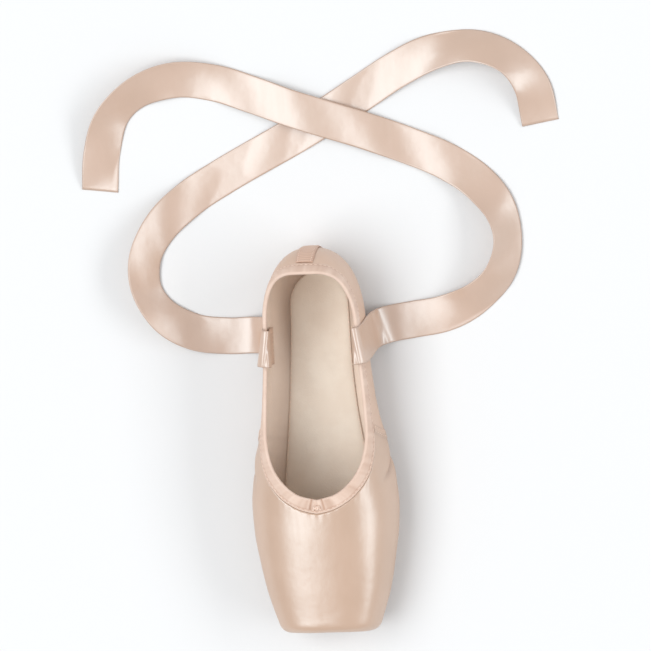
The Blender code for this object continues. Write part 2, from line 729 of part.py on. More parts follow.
def build_knot() -> bpy.types.Object:
    """The drawstring's small knot, on the casing at the middle of the throat."""
    line = rib(0.0)
    down = CASING_WIDTH * np.array([1.0, KNOT_SEAT, 0.0]) / length_of(line)
    front, seat, back = by_length(line, 1.0 - down)
    slope = math.atan2(back[2] - front[2], back[1] - front[1])
    lift = CASING_PROUD + GAP + KNOT_SIZE[2] / 2.0
    out = np.array([0.0, -math.sin(slope), math.cos(slope)])
    bm = bmesh.new()
    bmesh.ops.create_uvsphere(bm, u_segments=12, v_segments=8, radius=0.5 * MM)
    bmesh.ops.scale(bm, vec=KNOT_SIZE, verts=bm.verts[:])
    mesh = bpy.data.meshes.new("drawstring_knot")
    bm.to_mesh(mesh)
    bm.free()
    mesh.shade_smooth()
    piece = bpy.data.objects.new("drawstring_knot", mesh)
    piece.location = world(seat + out * lift)
    piece.rotation_euler = (slope, 0.0, 0.0)
    SHOE.objects.link(piece)
    dress(piece, "drawstring cotton", (0.78, 0.62, 0.52), 0.8)
    return piece


def build_all() -> None:
    """Build the pieces in the order a maker joins them."""
    build_upper()
    build_outsole()
    build_insole()
    build_casing()
    build_knot()
    build_back_strip()
    build_ribbon("ribbon_right", RIBBON_RIGHT)
    build_ribbon("ribbon_left", RIBBON_LEFT)


for old in list(bpy.data.objects):
    bpy.data.objects.remove(old, do_unlink=True)
SHOE = bpy.data.collections.new("pointe_shoe")
bpy.context.scene.collection.children.link(SHOE)
build_all()
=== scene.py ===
"""The looks of a pointe shoe that stands empty on its sole, its two ribbons lying loose behind it.

Lengths are in millimetres in the shoe's own frame: x across, y back from the platform and z up
from the floor. `to_frame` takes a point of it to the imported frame, in metres. Every cloth piece
is a grid of points laid on the last's skin, a little outside it or inside it.
"""

import logging
import math
from dataclasses import dataclass, field
from enum import Enum
from functools import cached_property
from typing import NamedTuple

import bmesh
import bpy
import numpy as np
from mathutils import Matrix, Vector, noise


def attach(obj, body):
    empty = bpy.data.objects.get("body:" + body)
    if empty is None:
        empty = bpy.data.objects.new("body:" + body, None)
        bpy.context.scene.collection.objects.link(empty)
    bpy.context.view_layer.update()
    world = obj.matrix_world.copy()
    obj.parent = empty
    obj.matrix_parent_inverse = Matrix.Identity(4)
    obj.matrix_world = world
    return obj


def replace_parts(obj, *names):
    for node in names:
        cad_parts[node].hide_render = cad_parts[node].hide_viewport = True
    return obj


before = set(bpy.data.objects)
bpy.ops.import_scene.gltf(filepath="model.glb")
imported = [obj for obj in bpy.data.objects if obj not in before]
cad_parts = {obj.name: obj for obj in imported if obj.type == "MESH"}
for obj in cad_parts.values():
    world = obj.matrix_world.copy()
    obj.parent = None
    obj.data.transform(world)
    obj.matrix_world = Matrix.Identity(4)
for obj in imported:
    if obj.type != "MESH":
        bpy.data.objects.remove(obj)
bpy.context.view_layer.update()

LOG = logging.getLogger("pointe_shoe")
Array = np.ndarray
Piece = bpy.types.Object
Tree = bpy.types.NodeTree
Node = bpy.types.Node
Socket = bpy.types.NodeSocket
Material = bpy.types.Material
Colour = tuple[float, float, float]
Value = float | Socket

MM = 0.001
GAP = 0.3
STRIP_THICKNESS = 0.7
LENGTH = 232.0
MIDDLE = (LENGTH + GAP + STRIP_THICKNESS) / 2.0
MERGE_WITHIN = 1e-6
BODY = "root"
CLOTH_UV = "cloth"


class Slot(Enum):
    """The record's material slots."""

    UPPER = "upper_satin"
    SOLE = "sole_suede"
    INSOLE = "insole_cotton"
    CASING = "casing_cotton"
    CORD = "drawstring_cord"
    STRIP = "strip_binding"
    RIBBON = "ribbon_satin"


class Section(NamedTuple):
    """One section of the last, across the shoe."""

    station: float
    half_width: float
    z_wide: float
    z_top: float
    z_bottom: float
    top_power: float
    bottom_power: float


class EdgeRow(NamedTuple):
    """One point of the open edge: a station, and an angle up from its section's widest line."""

    run: float
    station: float
    angle: float


class SoleRow(NamedTuple):
    """Half the width of the sole at a station."""

    station: float
    half_width: float


class RibRow(NamedTuple):
    """How one rib of the upper runs, from the sole up to the open edge."""

    rib: float
    core: float
    azimuth: float
    feather: float
    edge: float


class Crease(NamedTuple):
    """A soft trough between marks of (station, angle) on one side, or a ridge where depth is below 0."""

    side: int
    marks: tuple[tuple[float, float], ...]
    half_width: float
    depth: float


def steep(share: Array | float) -> Array:
    """A step from 0 to 1 that is level at both ends."""
    share = np.clip(share, 0.0, 1.0)
    return share * share * (3.0 - 2.0 * share)


def bell(distance: Array | float, half_width: float) -> Array:
    """A smooth bump of height 1, that wide."""
    return np.exp(-((np.asarray(distance) / half_width) ** 2))


def read(table: tuple, column: str, at: Array | float) -> Array:
    """Read a column of a table with no overshoot between its rows.

    Args:
        table: Rows whose first column rises.
        column: The column's name.
        at: Values of the first column.

    Returns:
        The column's values there.
    """
    knots = np.array([row[0] for row in table])
    values = np.array([getattr(row, column) for row in table])
    spans = np.diff(knots)
    rates = np.diff(values) / spans
    products = rates[:-1] * rates[1:]
    sums = np.where(products > 0.0, rates[:-1] + rates[1:], 1.0)
    middle = np.where(products > 0.0, 2.0 * products / sums, 0.0)
    slopes = np.concatenate(([rates[0]], middle, [rates[-1]]))
    at = np.asarray(at, dtype=float)
    row = np.clip(np.searchsorted(knots, at, side="right") - 1, 0, len(knots) - 2)
    span = spans[row]
    t = np.clip((at - knots[row]) / span, 0.0, 1.0)
    start = values[row] + slopes[row] * span * t * (1.0 - t) ** 2
    turned = t * t * (3.0 - 2.0 * t) * (values[row + 1] - values[row])
    return start + turned - slopes[row + 1] * span * t * t * (1.0 - t)


def unit(vectors: Array) -> Array:
    """Vectors of length 1."""
    return vectors / np.maximum(np.linalg.norm(vectors, axis=-1, keepdims=True), 1e-12)


def turn(start: Array, end: Array, share: Array) -> Array:
    """Turn directions part of the way round to others.

    Args:
        start: Directions of length 1.
        end: The ones that they turn towards.
        share: How far they turn, from 0 to 1.

    Returns:
        The turned directions.
    """
    angle = np.arccos(np.clip(np.sum(start * end, axis=-1), -1.0, 1.0))[..., None]
    scale = np.maximum(np.sin(angle), 1e-9)
    return unit(start * np.sin((1.0 - share) * angle) / scale + end * np.sin(share * angle) / scale)


def runs_along(line: Array) -> Array:
    """The distance along a line of points, at each of them."""
    return np.concatenate(([0.0], np.cumsum(np.linalg.norm(np.diff(line, axis=0), axis=1))))


def by_length(line: Array, shares: Array) -> Array:
    """Find points at shares of a line's length.

    Args:
        line: The line's points.
        shares: Shares of its length, from 0 to 1.

    Returns:
        A point for each share.
    """
    run = runs_along(line)
    at = np.asarray(shares) * run[-1]
    return np.stack([np.interp(at, run, line[:, axis]) for axis in range(3)], axis=-1)


def to_frame(points: Array) -> Array:
    """Points of the shoe's frame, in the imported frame's metres."""
    return (np.asarray(points, dtype=float) - (0.0, MIDDLE, 0.0)) * MM


def graded(marks: tuple[float, ...], counts: tuple[int, ...]) -> Array:
    """Space values from mark to mark.

    Args:
        marks: Where the spacing changes, from the first value to the last.
        counts: How many steps lie between one mark and the next.

    Returns:
        The values.
    """
    spans = [np.linspace(a, b, n, endpoint=False) for a, b, n in zip(marks, marks[1:], counts)]
    return np.concatenate([*spans, marks[-1:]])


def smooth_line(rows: Array, steps: int) -> Array:
    """Find points along a smooth curve through rows of numbers.

    Args:
        rows: The rows that it passes.
        steps: Points made between two of them.

    Returns:
        The curve's rows.
    """
    padded = np.concatenate([2.0 * rows[:1] - rows[1:2], rows, 2.0 * rows[-1:] - rows[-2:-1]])
    t = np.linspace(0.0, 1.0, steps, endpoint=False)[:, None]
    curves = []
    for a, b, c, d in zip(padded, padded[1:], padded[2:], padded[3:]):
        bend = (2.0 * a - 5.0 * b + 4.0 * c - d) * t**2 + (3.0 * b - a - 3.0 * c + d) * t**3
        curves.append((2.0 * b + (c - a) * t + bend) / 2.0)
    return np.concatenate([*curves, rows[-1:]])


def rounded(y: Array, span: tuple[float, float], rounds: tuple[float, float]) -> Array:
    """How much of a sole's width is left where it rounds off at both ends.

    Args:
        y: Places along the shoe.
        span: Where the sole starts and ends.
        rounds: How long its rounding is at the start and at the end.

    Returns:
        Shares of the width, from 0 to 1.
    """
    start = np.clip((y - span[0]) / rounds[0], 0.0, 1.0)
    end = np.clip((span[1] - y) / rounds[1], 0.0, 1.0)
    return np.sqrt((1.0 - (1.0 - start) ** 2) * (1.0 - (1.0 - end) ** 2))


def noise_at(places: Array) -> Array:
    """Smooth noise, from about -1 to 1, at places shaped (..., 3)."""
    values = [noise.noise(Vector(place)) for place in places.reshape(-1, 3)]
    return np.array(values).reshape(places.shape[:-1])


def both_sides(right: Array, axis: int = 0) -> Array:
    """Add the left side's points to the right side's.

    Args:
        right: Points of the right side, the last ones on the shoe's middle plane.
        axis: The axis that goes round the shoe.

    Returns:
        The points of both sides, back to where they start.
    """
    left = np.flip(np.delete(right, -1, axis=axis), axis=axis) * (-1.0, 1.0, 1.0)
    return np.concatenate([right, left], axis=axis)


def slope(points: Array, axis: int, closed: bool) -> Array:
    """How a grid's points change along an axis.

    Args:
        points: The grid, shaped (columns, rows, 3).
        axis: 0 to go along the columns, and 1 along the rows.
        closed: Whether the last points repeat the first.

    Returns:
        The change at each point.
    """
    if not closed:
        return np.gradient(points, axis=axis)
    body = np.delete(points, -1, axis=axis)
    around = np.roll(body, -1, axis=axis) - np.roll(body, 1, axis=axis)
    return np.concatenate([around, np.take(around, [0], axis=axis)], axis=axis)


def outward(points: Array, ring: bool = False, tube: bool = False) -> Array:
    """Find the outward directions of a grid of points.

    Args:
        points: The grid, shaped (columns, rows, 3), its first column or row repeated at the
            end where it closes on itself.
        ring: Whether the last column repeats the first.
        tube: Whether the last row repeats the first.

    Returns:
        A direction of length 1 for each point.
    """
    return unit(np.cross(slope(points, 0, ring), slope(points, 1, tube)))


@dataclass(frozen=True)
class Last:
    """The last that the shoe is made on: one skin, worked out from named sections.

    Attributes:
        platform_tilt: How far the platform leans back, in degrees.
        toe_lean_length: How far back from the platform its lean fades out.
        heel_round: Length of the heel's rounding, seen from above.
        box_wall: Thickness of the stiff box, and quarter_wall that of the soft quarters.
        lasting_margin: How far the upper is turned in under the sole.
        casing_width: Height of the band of cotton round the open edge.
        seam_foot: Where the side seam meets the sole, and seam_top where it meets the edge.
        core_z: Height of the points inside the last that its ribs are cast from.
        sections: The last across the shoe, from toe to heel.
        top_edge: The open edge, from the middle of the throat to the centre back.
        sole: Half the width of the sole, from its tip to the heel.
        rib_rows: How the ribs fan out round toe and heel.
    """

    platform_tilt: float = 5.0
    platform_low_z: float = 10.0
    platform_edge: float = 4.5
    toe_lean_start: float = 10.0
    toe_lean_length: float = 60.0
    heel_round: float = 46.0
    heel_power: float = 2.3
    heel_lean_start: float = 180.0
    heel_bulge_z: float = 31.0
    heel_foot_tuck: float = 11.0
    heel_top_z: float = 62.0
    heel_top_tuck: float = 13.0
    heel_top_power: float = 2.5
    heel_top_reach: float = 1.3
    box_wall: float = 2.6
    box_wall_end: float = 60.0
    box_wall_fade: float = 45.0
    quarter_wall: float = 1.5
    sole_tip: float = 29.0
    sole_end: float = 219.0
    sole_tip_round: float = 9.0
    sole_heel_round: float = 21.0
    lasting_margin: float = 7.0
    casing_width: float = 8.4
    seam_foot: float = 115.0
    seam_top: float = 126.0
    box_centre: float = 32.0
    heel_centre: float = 198.0
    core_z: float = 23.0
    ray_reach: float = 80.0
    ray_halvings: int = 30
    far_out: float = 9.0
    lean_rounds: int = 20
    line_points: int = 361
    half_rib_points: int = 60

    sections: tuple[Section, ...] = (
        Section(0.0, 28.8, 21.5, 42.5, 5.5, 2.5, 2.6),
        Section(12.0, 32.9, 21.5, 44.2, 4.6, 2.45, 2.7),
        Section(27.0, 37.2, 21.0, 46.6, 3.7, 2.35, 2.9),
        Section(46.0, 40.8, 20.5, 49.6, 3.3, 2.25, 3.1),
        Section(62.0, 43.2, 20.0, 51.8, 3.3, 2.2, 3.2),
        Section(78.0, 44.0, 19.5, 53.4, 3.3, 2.15, 3.2),
        Section(93.0, 42.5, 19.5, 55.5, 3.3, 2.15, 3.2),
        Section(112.0, 38.8, 20.0, 60.0, 4.3, 2.2, 3.1),
        Section(135.0, 34.3, 21.0, 68.0, 6.6, 2.2, 3.0),
        Section(158.0, 31.4, 22.0, 76.0, 6.4, 2.2, 2.9),
        Section(185.0, 29.6, 23.0, 84.0, 3.3, 2.2, 2.8),
        Section(232.0, 28.6, 24.0, 90.0, 3.3, 2.2, 2.8),
    )
    top_edge: tuple[EdgeRow, ...] = (
        EdgeRow(0.0, 84.0, 90.0),
        EdgeRow(0.09, 86.6, 77.5),
        EdgeRow(0.2, 94.2, 62.5),
        EdgeRow(0.32, 108.0, 46.0),
        EdgeRow(0.45, 128.0, 31.5),
        EdgeRow(0.6, 157.0, 22.5),
        EdgeRow(0.75, 188.0, 20.5),
        EdgeRow(0.88, 215.0, 25.5),
        EdgeRow(0.96, 229.0, 32.0),
        EdgeRow(1.0, 232.0, 34.5),
    )
    sole: tuple[SoleRow, ...] = (
        SoleRow(29.0, 15.5),
        SoleRow(45.0, 21.0),
        SoleRow(60.0, 25.3),
        SoleRow(76.0, 26.6),
        SoleRow(95.0, 24.0),
        SoleRow(117.0, 16.8),
        SoleRow(140.0, 13.4),
        SoleRow(165.0, 15.6),
        SoleRow(190.0, 19.2),
        SoleRow(219.0, 19.8),
    )
    rib_rows: tuple[RibRow, ...] = (
        RibRow(0.0, 32.0, 0.0, 0.0, 0.0),
        RibRow(0.1, 32.0, 38.0, 0.035, 0.035),
        RibRow(0.2, 34.0, 80.0, 0.09, 0.075),
        RibRow(0.35, 74.0, 90.0, 0.24, 0.155),
        RibRow(0.5, 119.0, 90.0, 0.465, 0.335),
        RibRow(0.66, 160.0, 90.0, 0.69, 0.54),
        RibRow(0.8, 195.0, 95.0, 0.87, 0.745),
        RibRow(0.9, 198.0, 138.0, 0.945, 0.87),
        RibRow(1.0, 198.0, 180.0, 1.0, 1.0),
    )

    def station_of(self, y: Array, z: Array) -> Array:
        """Find the station whose section, leaning at toe and heel, holds a point.

        Args:
            y: Places along the shoe.
            z: Heights over the floor.

        Returns:
            The stations.
        """
        toe = 1.0 - steep((y - self.toe_lean_start) / self.toe_lean_length)
        heel = steep((y - self.heel_lean_start) / (LENGTH - self.heel_lean_start))
        bulge, floor = self.heel_bulge_z, self.sections[-1].z_bottom
        low = np.clip((bulge - z) / (bulge - floor), 0.0, 1.0)
        high = np.clip((z - bulge) / (self.heel_top_z - bulge), 0.0, self.heel_top_reach)
        tuck = self.heel_foot_tuck * (1.0 - np.sqrt(1.0 - low**2))
        tuck = tuck + self.heel_top_tuck * high**self.heel_top_power
        lean = (z - self.platform_low_z) * math.tan(math.radians(self.platform_tilt))
        return y - lean * toe + tuck * heel

    def heel_share(self, station: Array) -> Array:
        """How much of the width is left where the heel rounds off."""
        heel = np.clip((station - LENGTH + self.heel_round) / self.heel_round, 0.0, 1.0)
        return (1.0 - heel**self.heel_power) ** (1.0 / self.heel_power)

    def power(self, station: Array, above: Array) -> Array:
        """How square the sections are, above their widest line or below it."""
        high, low = (read(self.sections, name, station) for name in ("top_power", "bottom_power"))
        return np.where(above, high, low)

    def outside(self, points: Array) -> Array:
        """Tell on which side of the last's skin points lie.

        Args:
            points: Points, shaped (..., 3).

        Returns:
            Above 0 outside the skin, and below 0 inside it.
        """
        x, y, z = points[..., 0], points[..., 1], points[..., 2]
        station = self.station_of(y, z)
        toe = np.clip(station / self.platform_edge, 0.0, 1.0)
        inset = self.platform_edge * (1.0 - np.sqrt(1.0 - (1.0 - toe) ** 2))
        half_width = read(self.sections, "half_width", station) - inset
        width = np.maximum(half_width * self.heel_share(station), 1e-4)
        wide = read(self.sections, "z_wide", station)
        above = z > wide
        top = read(self.sections, "z_top", station) - inset
        bottom = read(self.sections, "z_bottom", station) + inset
        rise = np.abs(z - wide) / np.where(above, top - wide, wide - bottom)
        power = self.power(station, above)
        run = np.minimum(np.abs(x) / width, self.far_out)
        value = run**power + np.minimum(rise, self.far_out) ** power - 1.0
        return np.where((station < 0.0) | (station > LENGTH), 1.0, value)

    def cast(self, origins: Array, aims: Array) -> Array:
        """Find where rays from inside the last meet its skin.

        Args:
            origins: Points inside the last.
            aims: The rays' directions, of length 1.

        Returns:
            Points of the skin.
        """
        near = np.zeros(aims.shape[:-1])
        far = np.full(aims.shape[:-1], self.ray_reach)
        for _ in range(self.ray_halvings):
            middle = (near + far) / 2.0
            inside = self.outside(origins + aims * middle[..., None]) < 0.0
            near = np.where(inside, middle, near)
            far = np.where(inside, far, middle)
        return origins + aims * near[..., None]

    def underside(self, x: Array, y: Array) -> Array:
        """Find the skin's height under points of the plan.

        Args:
            x: Places across the shoe.
            y: Places along it.

        Returns:
            The heights.
        """
        x, y = np.broadcast_arrays(np.asarray(x, dtype=float), np.asarray(y, dtype=float))
        origins = np.stack([x, y, np.full(x.shape, self.core_z)], axis=-1)
        down = np.zeros_like(origins)
        down[..., 2] = -1.0
        return self.cast(origins, down)[..., 2]

    def sole_outline(self, share: Array, inset: float = 0.0) -> tuple[Array, Array]:
        """Find half the sole's outline.

        Args:
            share: How far round it, from 0 at its tip to 1 at its heel.
            inset: How far inside the outline.

        Returns:
            Places across the shoe and along it.
        """
        start, end = self.sole_tip + inset, self.sole_end - inset
        y = start + (end - start) * (1.0 - np.cos(math.pi * np.asarray(share, dtype=float))) / 2.0
        rounding = rounded(y, (start, end), (self.sole_tip_round, self.sole_heel_round))
        return (read(self.sole, "half_width", y) - inset) * rounding, y

    @cached_property
    def feather(self) -> Array:
        """The upper's lower edge, tucked under the sole, from toe to heel."""
        x, y = self.sole_outline(np.linspace(0.0, 1.0, self.line_points), self.lasting_margin)
        return np.stack([x, y, self.underside(x, y)], axis=-1)

    def on_section(self, station: Array, angle: Array) -> Array:
        """Find points of the skin on sections of the last.

        Args:
            station: The sections' stations.
            angle: Degrees up from the widest line, below 0 under it.

        Returns:
            The points.
        """
        station, radians = np.asarray(station, dtype=float), np.radians(angle)
        above = radians >= 0.0
        power = self.power(station, above)
        width = read(self.sections, "half_width", station) * self.heel_share(station)
        x = width * np.maximum(np.cos(radians), 0.0) ** (2.0 / power)
        wide, top = read(self.sections, "z_wide", station), read(self.sections, "z_top", station)
        reach = np.where(above, top - wide, read(self.sections, "z_bottom", station) - wide)
        z = wide + reach * np.abs(np.sin(radians)) ** (2.0 / power)
        y = station.copy()
        for _ in range(self.lean_rounds):
            y = station + y - self.station_of(y, z)
        return np.stack([x, y, z], axis=-1)

    @cached_property
    def edge(self) -> Array:
        """The shoe's top edge, from the middle of the throat to the centre back."""
        run = np.sin(np.linspace(0.0, math.pi / 2.0, self.line_points))
        angle = read(self.top_edge, "angle", run)
        points = self.on_section(read(self.top_edge, "station", run), angle)
        points[0, 0], points[-1, 0] = 0.0, 0.0
        return points

    @cached_property
    def seam_rib(self) -> float:
        """The rib on which the side seam lies."""

        def share_at(line: Array, y: float) -> float:
            """The share of a line's length at a place along the shoe."""
            run = runs_along(line)
            return float(np.interp(y, line[:, 1], run / run[-1]))

        foot, top = share_at(self.feather, self.seam_foot), share_at(self.edge, self.seam_top)
        grid = np.linspace(0.0, 1.0, self.line_points)
        shares = (read(self.rib_rows, "feather", grid) + read(self.rib_rows, "edge", grid)) / 2.0
        return float(np.interp((foot + top) / 2.0, shares, grid))

    def ribs(self, columns: Array) -> Array:
        """Cast ribs of the skin, densely sampled.

        Args:
            columns: Where each rib lies, from 0 at the toe to 1 at the heel.

        Returns:
            Their points, from the feather line up to the open edge, shaped (ribs, points, 3).
        """
        foot = by_length(self.feather, read(self.rib_rows, "feather", columns))
        head = by_length(self.edge, read(self.rib_rows, "edge", columns))
        azimuth = np.radians(read(self.rib_rows, "azimuth", columns))
        still = np.zeros_like(azimuth)
        height = np.full_like(azimuth, self.core_z)
        core = np.stack([still, read(self.rib_rows, "core", columns), height], axis=-1)
        middle = np.clip(head[:, 1], self.box_centre, self.heel_centre)
        crown = np.stack([still, middle, height], axis=-1)
        level = np.stack([np.sin(azimuth), -np.cos(azimuth), still], axis=-1)
        share = np.linspace(0.0, 1.0, self.half_rib_points)[None, :, None]
        lower = turn(unit(foot - core)[:, None], level[:, None], share)
        upper = turn(level[:, None], unit(head - crown)[:, None], share[:, 1:])
        shift = steep(share[:, 1:])
        first = np.repeat(core[:, None], self.half_rib_points, axis=1)
        origins = np.concatenate([first, core[:, None] + (crown - core)[:, None] * shift], axis=1)
        return self.cast(origins, np.concatenate([lower, upper], axis=1))

    def wall(self, station: Array) -> Array:
        """The wall's thickness: stiff box in front, soft quarters behind."""
        soft = steep((station - self.box_wall_end) / self.box_wall_fade)
        return self.box_wall + (self.quarter_wall - self.box_wall) * soft


@dataclass
class Skin:
    """Points of the last's skin all the way round the shoe, with their places on it.

    Attributes:
        points: Shaped (columns, rows, 3), the first column repeated at the end.
        at: Each column's rib, from 0 at the toe to 1 at the heel.
        side: 1 for a column on the right, and -1 on the left.
        rise: Distance up the rib from the sole's rim.
        drop: Distance below the open edge.
        run: Distance round the shoe from the middle of the toe, at the column's row.
    """

    points: Array
    at: Array
    side: Array
    rise: Array
    drop: Array
    run: Array = field(init=False)

    def __post_init__(self) -> None:
        steps = np.linalg.norm(np.diff(self.points, axis=0), axis=-1)
        self.run = np.concatenate([np.zeros_like(steps[:1]), np.cumsum(steps, axis=0)])

    @classmethod
    def round_last(cls, last: Last, half: Array, rows: Array, foot: float, head: float) -> "Skin":
        """Lay a grid round the last.

        Args:
            last: The last.
            half: The ribs of one side, from 0 to 1.
            rows: Shares of the length that is kept of each rib.
            foot: Length left out at each rib's foot.
            head: Length left out at its head.

        Returns:
            The skin of both sides.
        """
        points, rise, drop = [], [], []
        for line in last.ribs(half):
            length = runs_along(line)[-1]
            kept = foot + (length - foot - head) * rows
            points.append(by_length(line, kept / length))
            rise.append(kept - last.lasting_margin)
            drop.append(length - kept)
        right = np.array(points)
        right[0, :, 0] = 0.0
        right[-1, :, 0] = 0.0
        back = half[-2::-1]
        return cls(
            points=both_sides(right),
            at=np.concatenate([half, back])[:, None],
            side=np.concatenate([np.ones(len(half)), -np.ones(len(back))])[:, None],
            rise=np.concatenate([rise, rise[-2::-1]]),
            drop=np.concatenate([drop, drop[-2::-1]]),
        )


@dataclass
class Cloth:
    """A grid of points that becomes a piece, with its cloth coordinates and masks.

    Attributes:
        points: Shaped (columns, rows, 3), in the shoe's frame.
        uv: Millimetres along and across the cloth, shaped (columns, rows, 2).
        masks: Named shares from 0 to 1 that finishes read, shaped (columns, rows).
    """

    points: Array
    uv: Array
    masks: dict[str, Array] = field(default_factory=dict)

    def lay(self, name: str, material: Material) -> Piece:
        """Lay the cloth: a bmesh grid whose vertices move onto the points.

        Args:
            name: The piece's name.
            material: Its material.

        Returns:
            The piece, riding on the shoe.
        """
        columns, rows = self.points.shape[:2]
        bm = bmesh.new()
        bm.loops.layers.uv.new(CLOTH_UV)
        bmesh.ops.create_grid(bm, x_segments=columns - 1, y_segments=rows - 1, size=1.0)
        mesh = bpy.data.meshes.new(name)
        bm.to_mesh(mesh)
        bm.free()
        flat = np.empty(len(mesh.vertices) * 3)
        mesh.vertices.foreach_get("co", flat)
        place = (flat.reshape(-1, 3)[:, :2] + 1.0) / 2.0 * (columns - 1, rows - 1)
        column, row = np.rint(place).astype(int).T
        mesh.vertices.foreach_set("co", to_frame(self.points[column, row]).ravel())
        corners = np.empty(len(mesh.loops), dtype=int)
        mesh.loops.foreach_get("vertex_index", corners)
        uv = self.uv[column[corners], row[corners]]
        mesh.uv_layers[CLOTH_UV].data.foreach_set("uv", uv.ravel())
        for mask, values in self.masks.items():
            shares = np.broadcast_to(values, (columns, rows))[column, row]
            mesh.attributes.new(mask, "FLOAT", "POINT").data.foreach_set("value", shares)
        merge(mesh)
        return show(name, mesh, material)


def merge(mesh: bpy.types.Mesh) -> None:
    """Weld a mesh's seams and poles, and drop the faces that have no area.

    Args:
        mesh: The mesh, changed in place.
    """
    bm = bmesh.new()
    bm.from_mesh(mesh)
    bmesh.ops.remove_doubles(bm, verts=bm.verts[:], dist=MERGE_WITHIN)
    bmesh.ops.dissolve_degenerate(bm, edges=bm.edges[:], dist=MERGE_WITHIN)
    bm.to_mesh(mesh)
    bm.free()


def show(name: str, mesh: bpy.types.Mesh, material: Material) -> Piece:
    """Make a piece of a mesh, dress it, and let it ride on the shoe.

    Args:
        name: The piece's name.
        mesh: Its mesh.
        material: Its material.

    Returns:
        The piece.
    """
    mesh.shade_smooth()
    mesh.materials.append(material)
    piece = bpy.data.objects.new(name, mesh)
    bpy.context.scene.collection.objects.link(piece)
    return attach(piece, BODY)


def thicken(piece: Piece, thickness: float, offset: float = -1.0) -> bpy.types.Modifier:
    """Give a sheet its thickness.

    Args:
        piece: The sheet.
        thickness: In millimetres.
        offset: -1 to grow inwards, and 0 to grow both ways.

    Returns:
        The modifier that does it.
    """
    wall = piece.modifiers.new("Wall", "SOLIDIFY")
    wall.thickness = thickness * MM
    wall.offset = offset
    wall.use_even_offset = True
    wall.use_quality_normals = True
    return wall


class Desk:
    """A node tree being wired, for a material or a group."""

    def __init__(self, tree: Tree) -> None:
        """Take a tree to wire."""
        self.tree = tree

    def add(self, kind: str, inputs: dict | None = None, **settings) -> Node:
        """Add a node.

        Args:
            kind: The node's type.
            inputs: Values, or sockets to link, by the input's name or number.
            settings: The node's own settings.

        Returns:
            The node.
        """
        node = self.tree.nodes.new(kind)
        for name, value in settings.items():
            setattr(node, name, value)
        for name, value in (inputs or {}).items():
            if isinstance(value, Socket):
                self.tree.links.new(value, node.inputs[name])
            else:
                node.inputs[name].default_value = value
        return node

    def math(
        self, operation: str, first: Value, second: Value = 0.0, clamp: bool = False
    ) -> Socket:
        """Reckon with a Math node.

        Args:
            operation: Its operation.
            first: The first value, or its socket.
            second: The second one.
            clamp: Whether the result is kept between 0 and 1.

        Returns:
            The result's socket.
        """
        inputs = {0: first, 1: second}
        node = self.add("ShaderNodeMath", inputs, operation=operation, use_clamp=clamp)
        return node.outputs[0]

    def blend(
        self, share: Value, first: tuple | Socket, second: tuple | Socket, way: str = "MIX"
    ) -> Socket:
        """Blend two colours.

        Args:
            share: How much of the blend shows, or its socket.
            first: The first colour, or its socket.
            second: The second one.
            way: MIX to go over to the second colour, or MULTIPLY to multiply by it.

        Returns:
            The colour's socket.
        """
        inputs = {0: share, 6: first, 7: second}
        return self.add("ShaderNodeMix", inputs, data_type="RGBA", blend_type=way).outputs[2]

    def ramp(self, value: Socket, low: float, high: float) -> Socket:
        """A value taken smoothly from 0 at low to 1 at high."""
        inputs = {"Value": value, 1: low, 2: high}
        return self.add("ShaderNodeMapRange", inputs, interpolation_type="SMOOTHSTEP").outputs[0]

    def noise(self, place: Socket, scale: float, detail: float) -> Socket:
        """The height of a cloudy noise, its scale per unit of the place."""
        inputs = {"Vector": place, "Scale": scale, "Detail": detail}
        return self.add("ShaderNodeTexNoise", inputs).outputs[0]

    def mask(self, name: str) -> Socket:
        """A mask that the cloth carries."""
        return self.add("ShaderNodeAttribute", attribute_name=name).outputs["Fac"]

    def cloth(self) -> Socket:
        """The cloth coordinates, in millimetres."""
        return self.add("ShaderNodeUVMap", uv_map=CLOTH_UV).outputs[0]

    def group(self, tree: Tree, inputs: dict) -> Node:
        """Place a shared group."""
        return self.add("ShaderNodeGroup", inputs, node_tree=tree)


